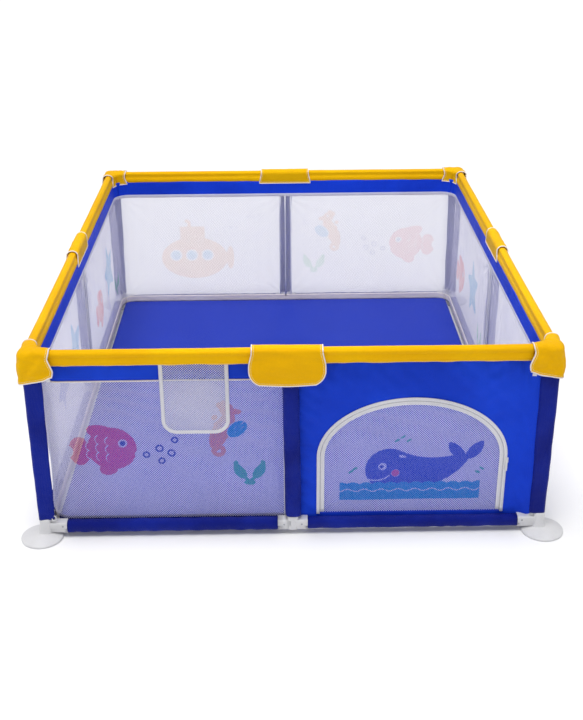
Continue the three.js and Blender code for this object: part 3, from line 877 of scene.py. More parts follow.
def bay(s, z, offset):
    """The panel follows the liner as far as the corner, then runs straight on into the post's sleeve."""
    straight = WALLS["front"]["half"] - SHEET_IN - CORNER_R
    t = np.clip((s - straight) / (end - straight), 0, 1)
    inward = SHEET_IN + (-0.006 - SHEET_IN) * t * t * (2 - t)
    return on_wall("front", np.minimum(s, straight) + t * (SHEET_IN + CORNER_R - 0.026), inward + offset, z)


outer = bay(s, z, drag - 0.0004)
inner = bay(s, z, drag + 0.0006)
hollow = hollow.ravel()
panel = two_layers("door_bay_panel", outer, inner, lambda f: not hollow[f].all(), ROYAL)

# Zip: a tape on each side, the teeth between them, and the net door
arch_band("zip_tape_fixed", ZIP_HALF + 0.0012, ZIP_HALF + 0.011, DOOR_SILL - 0.004, -0.0022,
    0.0016, TAPE, "frame", "mesh_fabric")
arch_band("zip_tape_door", ZIP_HALF - 0.012, ZIP_HALF - 0.0012, DOOR_SILL + 0.0035, -0.0022,
    0.0016, TAPE, "door", "mesh_fabric")
ps, pz = arch_path(ZIP_HALF - 0.0004, DOOR_TOP - 0.0004, DOOR_SILL + 0.002, 150)
tube("zip_teeth", liner("front", ps, pz, -0.0025), 0.0011, TEETH, body="door", sides=6)
door_net = net_panel("door_net", "front", DOOR_X - ZIP_HALF + 0.002, DOOR_X + ZIP_HALF - 0.002,
    DOOR_SILL + 0.001, DOOR_TOP - 0.002,
    lambda ink, x, z: whale(ink, x, z + (DOOR_SILL + DOOR_TOP - 0.001) / 2), 31,
    keep=lambda s, z: inside_arch(s, z, ZIP_HALF - 0.004, DOOR_TOP - 0.004), body="door", cell=PRINT_GRID)
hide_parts("door_flap")


# ---------------------------------------------------------------- padded rails


def rail_ring(s, seed):
    """Section of a padded rail at each s: a round lobe on the tube and a soft skirt below, as (inward, z)."""
    puff = ripple(s, s * 0 + seed, seed, 4.0, 5)
    slip = ripple(s, s * 0, seed + 50, 7.0, 5)
    points = []
    for k in range(15):
        a = math.radians(215 - k * (250 / 14))
        r = (LOBE - 0.0006) * (1 + 0.02 * puff)
        points.append((r * math.cos(a), TOP_Z + r * math.sin(a)))
    zero = s * 0
    points.append((0.0122 + zero, TOP_Z - 0.0115 + 0.0006 * slip))
    points.append((0.0160 + zero, TOP_Z - 0.0165))
    points.append((0.0172 + 0.0006 * puff, TOP_Z - 0.026))
    points.append((0.0166 + zero, RAIL_LOW + 0.004))
    points.append((0.0135 + zero, RAIL_LOW + 0.0008 * slip))
    points.append((0.0 + zero, RAIL_LOW - 0.0005 + 0.0008 * slip))
    points.append((-0.0085 + zero, RAIL_LOW + 0.0002 + 0.0010 * slip))
    points.append((-0.0108 - 0.0005 * puff, RAIL_LOW + 0.0035 + 0.0008 * slip))
    points.append((-0.0118 - 0.0010 * puff, TOP_Z - 0.026))
    points.append((-0.0112 - 0.0006 * puff, TOP_Z - 0.0165))
    points.append((-0.0088 + zero, TOP_Z - 0.0105 + 0.0006 * slip))
    return points


def puffed(obj, voxel, cap, frames=14, pressure=4.0):
    """Cloth simulation of a stuffed piece: the skin swells against its own stitching, by at most cap."""
    for other in bpy.context.selected_objects:
        other.select_set(False)
    bpy.context.view_layer.objects.active = obj
    mesher = obj.modifiers.new("Even", "REMESH")
    mesher.mode = "VOXEL"
    mesher.voxel_size = voxel
    mesher.use_smooth_shade = True
    apply_modifiers(obj)
    count = len(obj.data.vertices)
    start = np.empty(count * 3)
    obj.data.vertices.foreach_get("co", start)
    start = start.reshape(-1, 3)
    soft = obj.modifiers.new("Cloth", "CLOTH")
    soft.settings.quality = 4
    soft.settings.mass = 0.3
    soft.settings.tension_stiffness = 12
    soft.settings.compression_stiffness = 12
    soft.settings.bending_stiffness = 0.4
    soft.settings.use_pressure = True
    soft.settings.uniform_pressure_force = pressure
    soft.settings.effector_weights.gravity = 0
    soft.collision_settings.use_collision = False
    soft.point_cache.frame_start = 1
    soft.point_cache.frame_end = frames
    for f in range(1, frames + 1):
        bpy.context.scene.frame_set(f)
    shown = obj.evaluated_get(bpy.context.evaluated_depsgraph_get())
    end = np.empty(count * 3)
    shown.data.vertices.foreach_get("co", end)
    obj.modifiers.remove(soft)
    bpy.context.scene.frame_set(1)
    move = np.nan_to_num(end.reshape(-1, 3) - start)
    size = np.linalg.norm(move, axis=1, keepdims=True)
    move *= np.minimum(1, cap / np.maximum(size, 1e-9))
    obj.data.vertices.foreach_set("co", (start + move).ravel())
    obj.data.update()
    return obj


def rounded_off(obj):
    sub = obj.modifiers.new("Round", "SUBSURF")
    sub.levels = sub.render_levels = 1


def apply_modifiers(obj):
    shown = obj.evaluated_get(bpy.context.evaluated_depsgraph_get())
    made = bpy.data.meshes.new_from_object(shown)
    obj.modifiers.clear()
    obj.data = made


def mark(obj, rim, run):
    for key, values in (("rim", rim), ("run", run)):
        layer = obj.data.attributes.get(key) or obj.data.attributes.new(key, "FLOAT", "POINT")
        layer.data.foreach_set("value", np.asarray(values, np.float32))


def positions(obj):
    co = np.empty(len(obj.data.vertices) * 3)
    obj.data.vertices.foreach_get("co", co)
    return co.reshape(-1, 3)


for number, wall in enumerate(WALLS):
    half = WALLS[wall]["half"]
    for tag, start, stop in (("a", -half + 0.05, -0.04), ("b", 0.04, half - 0.05)):
        s = np.arange(start, stop, 0.009)
        ring = rail_ring(s, 60 + number * 2 + (tag == "b"))
        rings = np.stack([on_wall(wall, s, y, z) for y, z in ring], 1)
        rail = sweep(f"rail_pad_{wall}_{tag}", rings, YELLOW, slot="yellow_fabric",
            across=rings[..., 2] - RAIL_LOW)
        puffed(rail, 0.005, 0.0016)
        at = positions(rail)
        mark(rail, at[:, 2] - RAIL_LOW, at[:, 0] if wall in ("front", "back") else at[:, 1])
        rounded_off(rail)
        if tag == "a":
            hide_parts(f"wall_{wall}")


# ---------------------------------------------------------------- post and base sleeves


def sleeve_ring(a, wide, front, back, seed, h):
    """Flattened round sleeve in (u, inward) at heights h."""
    loose = ripple(np.cos(a)[None] * 0.02 + h[:, None] * 0.35, np.sin(a)[None] * 0.02 + h[:, None] * 0.05,
        seed, 18.0, 5)
    deep = np.where(np.sin(a) > 0, back, front)[None]
    grow = 1 + 0.035 * loose
    x = wide * np.sign(np.cos(a)) * np.abs(np.cos(a)) ** 0.85
    y = np.sign(np.sin(a)) * np.abs(np.sin(a)) ** 0.9 * deep
    return x[None] * grow, y * grow


angles = np.arange(28) / 28 * 2 * pi
for number, wall in enumerate(WALLS):
    h = np.linspace(0.0625, 0.515, 60)
    x, y = sleeve_ring(angles, 0.0238, 0.0180, 0.0135, 100 + number, h)
    lean = (-0.004 + 0.006 * (0.5 - h) / 0.44)[:, None]
    sweep(f"post_sleeve_{wall}", on_wall(wall, x + lean, y, h[:, None]), NAVY)


def corner_sleeve(corner, seed):
    """A sewn corner sleeve: round outside, and drawn inwards along both walls towards its top."""
    h = np.linspace(0.0625, 0.535, 60)
    outer = 0.0172
    count = 40
    rings = []
    for z in h:
        reach = 0.030 + 0.007 * (z - 0.06) / 0.44
        knots = [(-0.010, -outer), (reach, -0.0135), (reach, -0.003), (-0.003, reach), (-0.0135, reach),
            (-outer, -0.010), (-0.0152, -0.0152)]
        loop = np.array(knots)
        ends = np.roll(loop, -1, 0)
        lengths = np.linalg.norm(ends - loop, axis=1)
        at = np.concatenate([[0], np.cumsum(lengths)])
        t = np.linspace(0, at[-1], count, endpoint=False)
        closed = np.vstack([loop, loop[:1]])
        ring = np.stack([np.interp(t, at, closed[:, i]) for i in (0, 1)], 1)
        for _ in range(2):
            ring = (np.roll(ring, 1, 0) + 2 * ring + np.roll(ring, -1, 0)) / 4
        rings.append(ring)
    rings = np.array(rings)
    middle_point = rings.mean(1, keepdims=True)
    a = np.arange(count) / count * 2 * pi
    loose = ripple(np.cos(a)[None] * 0.02 + h[:, None] * 0.3, np.sin(a)[None] * 0.02 + h[:, None] * 0.06,
        seed, 16.0, 5)
    rings = middle_point + (rings - middle_point) * (1 + 0.035 * loose[..., None])
    rings = np.clip(rings, -0.0185, None)
    return sweep(f"post_sleeve_{corner}", at_corner(corner, rings[..., 0], rings[..., 1], h[:, None]), NAVY)


for number, corner in enumerate(CORNERS):
    corner_sleeve(corner, 200 + number)

for number, wall in enumerate(WALLS):
    half = WALLS[wall]["half"]
    for tag, start, stop in (("a", -half + 0.0645, -0.0445), ("b", 0.0445, half - 0.0645)):
        s = np.arange(start, stop + 0.001, 0.009)
        s[-1] = stop
        a = angles
        fold = ripple(s[:, None] + 0.02 * np.cos(a)[None], 0.6 * s[:, None] + 0.02 * np.sin(a)[None],
            300 + number * 2 + (tag == "b"), 9.0, 5)
        twist = np.sin(2 * pi * (s[:, None] / 0.055 + 0.35 * np.sin(a)[None])
            + 3 * ripple(s, s * 0, 350 + number, 2.0, 4)[:, None])
        grow = 1 + 0.030 * fold + 0.040 * twist * np.abs(ripple(s, s * 0, 360 + number, 3.0, 4))[:, None]
        y = 0.0165 * np.sign(np.cos(a)) * np.abs(np.cos(a)) ** 0.8
        z = (0.0176 if (wall, tag) == ("front", "b")
            else 0.0192) * np.sign(np.sin(a)) * np.abs(np.sin(a)) ** 0.8
        rings = on_wall(wall, s[:, None] + 0 * grow, y[None] * grow, BASE_Z + z[None] * grow)
        sweep(f"base_sleeve_{wall}_{tag}", rings, NAVY)


# ---------------------------------------------------------------- caps and covers


def boundary(points):
    """The rim of a grid of points, as one closed loop."""
    return np.concatenate([points[0], points[1:-1, -1], points[-1, ::-1], points[-2:0:-1, 0]])


def skin(name, points, material, thick=0.0016):
    """A thin closed shell from a grid of points; the white piping on its rim is laid separately."""
    rows, cols = points.shape[:2]
    loop = boundary(points)
    run = np.concatenate([[0], np.cumsum(np.linalg.norm(np.diff(loop, axis=0), axis=1))])
    apart = np.linalg.norm(points.reshape(-1, 1, 3) - loop[None], axis=2)
    marks = {"rim": apart.min(1), "run": run[apart.argmin(1)]}
    obj = make(name, points.reshape(-1, 3), grid_faces(rows, cols), material, inks=marks)
    shell = obj.modifiers.new("Thick", "SOLIDIFY")
    shell.thickness = thick
    shell.offset = 0.0
    rounded_off(obj)
    return obj


def bell(z, at, width):
    return np.exp(-(((z - at) / width) ** 2))


def cap_grid(corner, seed):
    """Soft corner cap. t runs from one arm's end round the corner to the other, q from the outer hem
    over the top to the inner hem."""
    rows, cols = 45, 65
    q = np.linspace(0, 1, rows)[:, None]
    t = np.linspace(-1, 1, cols)[None]
    inner, rise = 0.0182, 0.0155
    side = np.clip(q / 0.46, 0, 1)
    over = np.clip((q - 0.46) / 0.34, 0, 1)
    drop = np.clip((q - 0.80) / 0.20, 0, 1)
    outer = 0.0215 + 0.0042 * smooth((0.605 - (0.517 + (TOP_Z - 0.517) * side)) / 0.05)
    x_near = np.abs(t) * 0.079 - 0.013
    hem = 0.5155 + 0.0002 / 0.001 * (x_near + 0.013) + 0.006 * smooth((x_near - 0.044) / 0.02) + 0 * q
    z = hem + (TOP_Z - hem) * side
    z = np.where(q > 0.46, TOP_Z + rise * np.sin(pi * over), z)
    z = np.where(q > 0.80, TOP_Z + (0.5615 - TOP_Z) * drop, z)
    reach = CAP_ARM - 0.005 * bell(z, 0.592, 0.014) + 0.007 * bell(z, 0.552, 0.020)
    r = 0.013
    arc = r * pi / 4
    mid = r - outer
    along = t * (reach - mid + arc)
    past = np.clip(np.abs(along) - arc, 0, None)
    a = pi / 2 - np.clip(np.abs(along), 0, arc) / r
    ox = np.where(past > 0, mid + past, mid - r * np.cos(pi - a - pi / 4))
    oy = np.where(past > 0, -outer, mid - r * np.sin(pi - a - pi / 4))
    tt = np.abs(along) / (reach - mid + arc)
    ix = 0.030 + (reach - 0.030) * tt
    iy = 0.030 + (inner - 0.030) * smooth(tt)
    w = np.where(q <= 0.46, 0.0, np.where(q >= 0.80, 1.0, (1 - np.cos(pi * over)) / 2))
    x = ox * (1 - w) + ix * w
    y = oy * (1 - w) + iy * w
    flip = t < 0
    x, y = np.where(flip, y, x), np.where(flip, x, y)
    crumple = ripple(along, z + q * 0.05, seed, 13.0, 6)
    spokes = np.sin(np.arctan2(z - 0.50, np.abs(along) + 0.012) * 13
        + seed) * smooth(side / 0.3) * smooth((1 - np.abs(t)) / 0.3)
    push = 0.0016 * crumple + 0.0017 * spokes
    length = np.hypot(0.03 - x, 0.03 - y) + 1e-6
    way = np.where(w < 0.5, 1, -0.3)
    x = x - push * way * (0.03 - x) / length
    y = y - push * way * (0.03 - y) / length
    z = z + 0.0009 * crumple * np.sin(pi * over)
    return at_corner(corner, x, y, z)


for number, corner in enumerate(CORNERS):
    points = cap_grid(corner, 400 + number)
    cap = skin(f"corner_cap_soft_{corner}", points, YELLOW)
    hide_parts(f"corner_cap_{corner}")
    tube(f"cap_piping_{corner}", boundary(points), 0.0021, PIPING, closed=True, slot="yellow_fabric")
    for tag, swap in (("a", False), ("b", True)):
        run = np.linspace(0.052, 0.064, 7)
        loop = 0.5 * np.array([(-1, -0.7), (-0.7, -1), (0.7, -1), (1, -0.7), (1, 0.7), (0.7, 1), (-0.7, 1),
            (-1, 0.7)])
        across, tall = -0.0212 + 0.0014 * loop[:, 0], 0.5265 + 0.009 * loop[:, 1]
        u = run[:, None] + 0 * across[None]
        v = across[None] - 0.0004 * np.sin(run / 0.018 * 9)[:, None]
        x, y = (v, u) if swap else (u, v)
        sweep(f"hook_tab_{corner}_{tag}", at_corner(corner, x, y, tall[None] + 0 * u), TAPE,
            slot="yellow_fabric", across=0.01 + 0 * across)


def cover_grid(wall, seed):
    rows, cols = 49, 65
    q = np.linspace(0, 1, rows)[:, None]
    t = np.linspace(-1, 1, cols)[None]
    inner, rise = 0.0192, 0.0160
    side = np.clip(q / 0.52, 0, 1)
    over = np.clip((q - 0.52) / 0.26, 0, 1)
    drop = np.clip((q - 0.78) / 0.22, 0, 1)
    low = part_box(f"rail_cover_{wall}")[0][2] + 0.002
    corner = 0.046
    z = low + 0.004 * t**2 + (TOP_Z - low - 0.004 * t**2) * side
    z = np.where(q > 0.52, TOP_Z + rise * np.sin(pi * over), z)
    z = np.where(q > 0.78, TOP_Z + (0.5595 - TOP_Z) * drop, z)
    edge = 0.0985 + 0.0085 * smooth((0.606 - z) / 0.05)
    rounding = np.clip((low + corner - z) / corner, 0, 1)
    half = np.where(q < 0.5, edge - corner * (1 - np.sqrt(np.maximum(1 - rounding**2, 0.0))), edge)
    u = t * half + (COVER_SLIP if wall == "front" else 0)
    w = np.where(q <= 0.52, 0.0, np.where(q >= 0.78, 1.0, (1 - np.cos(pi * over)) / 2))
    outer = 0.0172 + 0.0040 * (1 - side)
    y = -outer * (1 - w) + inner * w
    crumple = ripple(u, z + 0.06 * q, seed, 8.0, 6)
    drape = np.sin(2 * pi * (u + 0.4 * z) / 0.075 + seed) * np.sin(pi * np.clip(side, 0, 1))
    belly = 0.0022 * np.sin(pi * np.clip(side, 0, 1)) * (1 - t**2)
    y = y + np.where(w < 0.5, -1, 0.3) * (0.0010 * crumple + 0.0007 * drape + belly)
    z = z + 0.0009 * crumple * np.sin(pi * over)
    return on_wall(wall, u, y, z)


for number, wall in enumerate(WALLS):
    points = cover_grid(wall, 500 + number)
    cover = skin(f"rail_cover_soft_{wall}", points, YELLOW)
    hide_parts(f"rail_cover_{wall}")
    tube(f"cover_piping_{wall}", boundary(points), 0.0020, PIPING, closed=True, slot="yellow_fabric")


# ---------------------------------------------------------------- pocket

POCKET_LOW, POCKET_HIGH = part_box("storage_pocket")
pocket_mid = (POCKET_LOW[0] + POCKET_HIGH[0]) / 2
pocket_half = (POCKET_HIGH[0] - POCKET_LOW[0]) / 2
pocket_z = POCKET_LOW[2]
pocket_top = RAIL_LOW + 0.004
corner = 0.044


def pocket_width(z):
    t = np.clip((pocket_z + corner - z) / corner, 0, 1)
    return pocket_half - corner * (1 - np.sqrt(np.maximum(1 - t * t, 0)))


def pocket_bulge(s, z):
    x = np.clip(np.abs(s - pocket_mid) / pocket_half, 0, 1)
    h = np.clip((z - pocket_z) / (pocket_top - pocket_z), 0, 1)
    return -0.0035 - 0.0045 * (1 - x**4) * np.sin(pi * np.clip(h * 0.9, 0, 1)) - 0.0006 * ripple(s, z, 77,
        9.0, 5)


cell = POCKET_GRID
cols, rows = int(2 * pocket_half / cell) + 1, int((pocket_top - pocket_z) / cell) + 1
s, z = np.meshgrid(np.linspace(pocket_mid - pocket_half, pocket_mid + pocket_half, cols),
    np.linspace(pocket_z, pocket_top, rows))
keep = (np.abs(s - pocket_mid) <= pocket_width(z) - 0.001).ravel()
front = liner("front", s, z, pocket_bulge(s, z))
rear = liner("front", s, z, pocket_bulge(s, z) + 0.0003)
uv = np.stack([s + 0.0035, z + 0.0018], -1)
pocket = two_layers("pocket_net", front, rear, lambda f: keep[f].all(), NET, uv=uv)
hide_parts("storage_pocket")

steps = np.linspace(0, pi / 2, 12)
down = np.linspace(pocket_top, pocket_z + corner, 24)[:-1]
across = np.linspace(-1, 1, 14)[1:-1] * (pocket_half - corner)
left = np.stack([np.full(23, -pocket_half), down], 1)
turn_l = np.stack([-pocket_half + corner - corner * np.cos(steps),
    pocket_z + corner - corner * np.sin(steps)], 1)
floor_run = np.stack([across, np.full(12, pocket_z)], 1)
turn_r = turn_l[::-1] * [-1, 1]
right = left[::-1] * [-1, 1]
loop = np.concatenate([left, turn_l, floor_run, turn_r, right])
tangent = np.gradient(loop, axis=0)
tangent /= np.linalg.norm(tangent, axis=1, keepdims=True)
normal = np.stack([-tangent[:, 1], tangent[:, 0]], 1)
rings = []
wide = 0.0112
for k in range(5):
    p = loop + normal * wide * (k / 4)
    rings.append(liner("front", p[:, 0] + pocket_mid, p[:, 1],
        pocket_bulge(p[:, 0] + pocket_mid, p[:, 1]) - 0.0012 - 0.0006 * math.sin(pi * k / 4)))
for k in range(4, -1, -1):
    p = loop + normal * wide * (k / 4)
    rings.append(liner("front", p[:, 0] + pocket_mid, p[:, 1],
        pocket_bulge(p[:, 0] + pocket_mid, p[:, 1]) + 0.0006))
sweep("pocket_binding", np.stack(rings, 1), TAPE, slot="mesh_fabric")


# ---------------------------------------------------------------- floor mat

MAT_LOW, MAT_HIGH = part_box("floor_mat")


def mat_piece():
    hx, hy = MAT_HIGH[0], MAT_HIGH[1]
    low, high = MAT_LOW[2], MAT_HIGH[2]
    cut_corner = 0.018
    nx, ny = 90, 108

    def spread(n):
        t = np.linspace(-1, 1, n)
        return np.sign(t) * (1 - (1 - np.abs(t)) ** 1.25)

    gx, gy = np.meshgrid(spread(nx), spread(ny))
    x, y = gx * hx, gy * hy
    over = np.maximum(np.abs(x) + np.abs(y) - (hx + hy - cut_corner), 0) / 2
    x, y = x - np.sign(x) * over, y - np.sign(y) * over
    edge = np.minimum(np.minimum(hx - np.abs(x), hy - np.abs(y)),
        (hx + hy - cut_corner - np.abs(x) - np.abs(y)) / 1.414)
    edge = np.maximum(edge, 0)
    round_it = 0.5 * (high - low) * np.sqrt(np.clip(1 - (1 - np.clip(edge / 0.012, 0, 1)) ** 2, 0, 1))
    mid = (low + high) / 2
    inner = smooth(edge / 0.06)
    wave = 0.0009 * ripple(x, y, 7, 0.9, 6) * inner
    crease = 0
    for k in (-1, 1):
        crease = crease - 0.0014 * np.exp(-(((y - k * hy / 3) / 0.006) ** 2)) * inner
        crease = crease - 0.0012 * np.exp(-(((x - k * hx / 3) / 0.006) ** 2)) * inner
    top = np.minimum(mid + round_it + wave + crease - 0.001 * inner, high + 0.001)
    bottom = np.maximum(mid - round_it, low)
    points = np.concatenate([np.stack([x, y, top], -1).reshape(-1, 3),
        np.stack([x, y, bottom], -1).reshape(-1, 3)])
    n = nx * ny
    faces = grid_faces(ny, nx) + grid_faces(ny, nx, start=n, flip=True)
    rim = list(range(nx)) + [i * nx + nx - 1 for i in range(1, ny)] + [(ny - 1) * nx + j
        for j in range(nx - 2, -1, -1)] + [i * nx for i in range(ny - 2, 0, -1)]
    for a, b in zip(rim, rim[1:] + rim[:1]):
        faces.append((b, a, a + n, b + n))
    obj = make("floor_mat_soft", points, faces, MAT, body="mat")
    fix_normals(obj)
    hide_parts("floor_mat")
    return obj


mat_piece()


# ---------------------------------------------------------------- feet and base fittings

FOOT_LOW, FOOT_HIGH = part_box("foot_front_left")
FOOT_R = (FOOT_HIGH[0] - FOOT_LOW[0]) / 2
FOOT_OUT = (FOOT_LOW[0] + FOOT_HIGH[0]) / 2 + LINE_X
CORNER_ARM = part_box("base_corner_front_left")[1][0] + LINE_X
TEE_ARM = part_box("base_tee_front")[1][0]
ARM_TOP = BASE_Z + 0.018
STEP_Z = BASE_Z - 0.001


def foot_disc(corner):
    """A suction disc: rolled rim, shallow hollow, then a low dome."""
    profile = [(0.0, 0.0), (0.94, 0.0), (0.985, 0.0005), (1.0, 0.0026), (0.997, 0.0052), (0.978, 0.0070),
        (0.945, 0.0078), (0.90, 0.0082)]
    profile += [(0.90 - 0.66 * k / 12, 0.0084 + 0.0082 * math.sin(pi / 2 * k / 12))
        for k in range(1, 13)] + [(0.0, 0.0168)]
    a = np.arange(72) / 72 * 2 * pi
    rings = []
    for r, z in profile:
        r = max(r, 0.002) * FOOT_R
        rings.append(at_corner(corner, FOOT_OUT + r * np.cos(a), FOOT_OUT + r * np.sin(a), z + 0 * a))
    return sweep(f"foot_disc_{corner}", rings, PLASTIC)


def squircle(cx, cy, half, sides=40, power=4.0):
    a = np.arange(sides) / sides * 2 * pi
    c, s = np.cos(a), np.sin(a)
    r = half / (np.abs(c) ** power + np.abs(s) ** power) ** (1 / power)
    return cx + r * c, cy + r * s


def rounded(corners, radius=0.002, steps=4):
    """A closed outline with its corners rounded."""
    out = []
    n = len(corners)
    for i in range(n):
        p, a, b = (np.array(corners[k % n], float) for k in (i, i - 1, i + 1))
        da, db = a - p, b - p
        la, lb = np.linalg.norm(da), np.linalg.norm(db)
        cutback = min(radius, la * 0.45, lb * 0.45)
        p0, p1 = p + da / la * cutback, p + db / lb * cutback
        for k in range(steps + 1):
            t = k / steps
            out.append((1 - t) ** 2 * p0 + 2 * t * (1 - t) * p + t * t * p1)
    return np.array(out)


def bar(name, place, outline, start, stop, round_end=0.0008):
    """A moulded bar: an outline of (side, z) carried along from start to stop with softened ends."""
    mid = outline.mean(0)
    rings = []
    for at, grow in ((start, 0.93), (start + round_end, 1.0), (stop - round_end, 1.0), (stop, 0.93)):
        o = mid + (outline - mid) * grow
        rings.append(place(at, o[:, 0], o[:, 1]))
    return sweep(name, rings, PLASTIC)


# (side, z): the upper half stands proud of a drawn-in lower face on the outside, which is the negative side
UPPER = rounded([(-0.0166, STEP_Z), (-0.0166, ARM_TOP - 0.003), (-0.0136, ARM_TOP + 0.0002),
    (0.0125, ARM_TOP + 0.0002), (0.0160, ARM_TOP - 0.004), (0.0160, STEP_Z)], 0.0016)
LOWER = rounded([(-0.0150, STEP_Z + 0.001), (0.0150, STEP_Z + 0.001), (0.0150, BASE_Z - 0.014),
    (0.0110, BASE_Z - 0.018), (-0.0095, BASE_Z - 0.018), (-0.0138, BASE_Z - 0.014)], 0.0016)


def fitting_arm(tag, place, start, stop, way=1):
    """One arm of a base fitting with its ribbed end. way is -1 where the arm runs backwards."""
    parts = [bar(f"arm_top_{tag}", place, UPPER, start, stop),
        bar(f"arm_low_{tag}", place, LOWER, start, stop - way * 0.006)]
    for k in range(3):
        z = BASE_Z - 0.0145 + 0.0052 * k
        rib = rounded([(-0.0146, z), (-0.0146, z + 0.0024), (0.0146, z + 0.0024), (0.0146, z)], 0.0006, 2)
        parts.append(bar(f"rib_{tag}_{k}", place, rib, stop - way * 0.008, stop, 0.0003 * way))
    return parts


def gusset(tag, place, x0, x1, top):
    """A hollow-curved web from an arm up to the post socket."""
    outline = [(x1 - (x1 - x0) * math.sin(pi / 2 * k / 12),
        ARM_TOP - 0.001 + (top - ARM_TOP + 0.001) * (1 - math.cos(pi / 2 * k / 12))) for k in range(13)]
    outline += [(x0 - 0.004, top), (x0 - 0.004, ARM_TOP - 0.003), (x1, ARM_TOP - 0.003)]
    outline = np.array(outline)
    rings = []
    for y in (-0.0086, -0.0078, 0.0078, 0.0086):
        o = outline if abs(y) < 0.008 else outline.mean(0) + (outline - outline.mean(0)) * 0.96
        rings.append(np.stack([place(x, np.array([y]), np.array([z]))[0] for x, z in o]))
    return sweep(f"web_{tag}", rings, PLASTIC)


def screw(tag, place, x, z, face=-0.0166):
    """A pan-head screw with a cross recess, on the outside face of an arm."""
    a = np.arange(20) / 20 * 2 * pi
    rings = []
    for r, out in ((0.0030, 0.0), (0.0030, 0.0006), (0.0024, 0.0013), (0.0010, 0.0015), (0.0007, 0.0007),
            (0.0001, 0.0007)):
        rings.append(np.stack([place(x + r * math.cos(t), np.array([face - out]),
            np.array([z + r * math.sin(t)]))[0] for t in a]))
    return sweep(f"screw_{tag}", rings, SCREW)


def ring_clip(corner):
    """A small open ring that ties the net's lower corner to the fitting."""
    a = np.linspace(0.3, 2 * pi - 0.2, 40)
    path = at_corner(corner, 0.0285 + 0.0062 * np.cos(a), -0.0125 + 0.002 * np.sin(a),
        0.0665 + 0.0070 * np.sin(a))
    return tube(f"ring_{corner}", path, 0.0016, PLASTIC, sides=10)


for corner in CORNERS:
    disc = foot_disc(corner)
    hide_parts(f"foot_{corner}")

    def along_x(x, side, z, corner=corner):
        return at_corner(corner, x, side, z)

    def along_y(y, side, z, corner=corner):
        return at_corner(corner, side, y, z)

    rings = []
    for z, half, shift in ((0.0100, 0.0235, -0.0045), (0.0125, 0.0215, -0.0035), (0.0180, 0.0192, -0.0018),
            (0.0260, 0.0180, -0.0008), (0.0400, 0.0176, 0.0), (0.0560, 0.0172, 0.0), (0.0630, 0.0168, 0.0),
            (0.0636, 0.0160, 0.0)):
        x, y = squircle(shift, shift, half)
        rings.append(at_corner(corner, x, y, z + 0 * x))
    parts = [sweep(f"socket_{corner}", rings, PLASTIC)]
    for tag, place in (("x", along_x), ("y", along_y)):
        parts += fitting_arm(f"{corner}_{tag}", place, 0.004, CORNER_ARM)
        parts.append(gusset(f"{corner}_{tag}", place, 0.0215, 0.047, 0.0735))
        parts.append(screw(f"{corner}_{tag}", place, 0.0520, BASE_Z + 0.0075))
    parts.append(ring_clip(corner))
    body = joined(f"base_corner_look_{corner}", parts)
    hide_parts(f"base_corner_{corner}")

for wall in WALLS:

    def place(u, side, z, wall=wall):
        return on_wall(wall, u, side, z)

    rings = []
    for z, half in ((BASE_Z - 0.0165, 0.0150), (BASE_Z - 0.0155, 0.0158), (BASE_Z, 0.0165),
            (0.0560, 0.0165), (0.0632, 0.0162), (0.0636, 0.0155)):
        x, y = squircle(0.0, 0.0, half)
        rings.append(on_wall(wall, x, y, z + 0 * x))
    parts = [sweep(f"tee_socket_{wall}", rings, PLASTIC)]
    for way, tag in ((1, "b"), (-1, "a")):
        parts += fitting_arm(f"tee_{wall}_{tag}", place, way * 0.006, way * TEE_ARM, way)
        parts.append(screw(f"tee_{wall}_{tag}", place, way * 0.026, BASE_Z + 0.0040))
    body = joined(f"base_tee_look_{wall}", parts)
    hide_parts(f"base_tee_{wall}")


# ---------------------------------------------------------------- plastic and metal


def dress(prefix, material):
    for node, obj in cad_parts.items():
        if node.startswith(prefix):
            obj.data.materials.clear()
            obj.data.materials.append(material)


dress("top_corner_", PLASTIC)
dress("top_tee_", PLASTIC)
dress("zip_slider", PLASTIC)
dress("post_", TUBE)
dress("top_tube_", TUBE)
dress("base_tube_", TUBE)


# ---------------------------------------------------------------- stage, light, camera


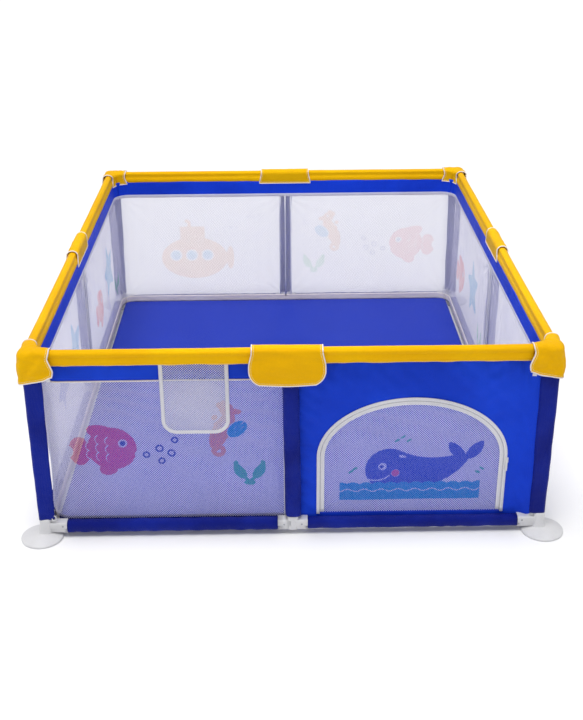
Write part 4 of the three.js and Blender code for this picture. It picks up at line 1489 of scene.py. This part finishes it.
def stage_floor():
    """A pale floor that runs far back, so that it fills the picture."""
    mesh = bpy.data.meshes.new("Stage_floor")
    size = 60.0
    mesh.from_pydata([(-size, -size, 0), (size, -size, 0), (size, size, 0), (-size, size, 0)], [],
        [(0, 1, 2, 3)])
    t = Tree("Stage_white")
    t.put("Base Color", t.mix(t.noise(0.6), (0.93, 0.93, 0.94, 1), (0.95, 0.95, 0.955, 1)))
    t.put("Roughness", 0.9)
    t.put("Specular IOR Level", 0.05)
    mesh.materials.append(t.material)
    placed("Stage_floor", mesh)


stage_floor()

world = bpy.data.worlds.new("Studio")
bpy.context.scene.world = world
world.use_nodes = True
world.node_tree.nodes["Background"].inputs[0].default_value = (1.0, 1.0, 1.0, 1)
world.node_tree.nodes["Background"].inputs[1].default_value = WORLD_POWER


def lamp(name, place, aim, size, watts):
    data = bpy.data.lights.new(name, "AREA")
    data.shape = "DISK"
    data.size = size
    data.energy = watts
    back = (np.array(place) - np.array(aim)).astype(float)
    back /= np.linalg.norm(back)
    side = np.cross([0, 0, 1.0], back)
    side /= np.linalg.norm(side)
    up = np.cross(back, side)
    m = Matrix([[side[i], up[i], back[i], place[i]] for i in range(3)] + [[0, 0, 0, 1]])
    placed(name, data).matrix_world = m


def sun(name, tilt, strength, soft):
    data = bpy.data.lights.new(name, "SUN")
    data.energy = strength
    data.angle = math.radians(soft)
    placed(name, data).rotation_euler = [math.radians(a) for a in tilt]


sun("Softbox_above", SUN_TILT, SUN_POWER, SUN_SPREAD)
lamp("Fill_front", (-2.4, -4.2, 1.6), (0, -0.6, 0.3), 2.4, 4)
lamp("Fill_inside", (0, -0.66, 1.35), (0, 0.95, 0.30), 0.9, 7.5)


def camera():
    data = bpy.data.cameras.new("Camera")
    data.sensor_width = 36.0
    data.lens = LENS
    obj = placed("Camera", data)
    pitch, yaw, roll = (math.radians(a) for a in CAMERA_TURN)
    ahead = np.array([math.sin(yaw) * math.cos(pitch), math.cos(yaw) * math.cos(pitch), -math.sin(pitch)])
    right = np.array([math.cos(yaw), -math.sin(yaw), 0])
    up = np.cross(right, ahead)
    r = right * math.cos(roll) + up * math.sin(roll)
    u = -right * math.sin(roll) + up * math.cos(roll)
    place = CAMERA_PLACE
    obj.matrix_world = Matrix([[r[i], u[i], -ahead[i], place[i]] for i in range(3)] + [[0, 0, 0, 1]])
    bpy.context.scene.camera = obj


camera()
bpy.context.scene.view_settings.view_transform = "Standard"
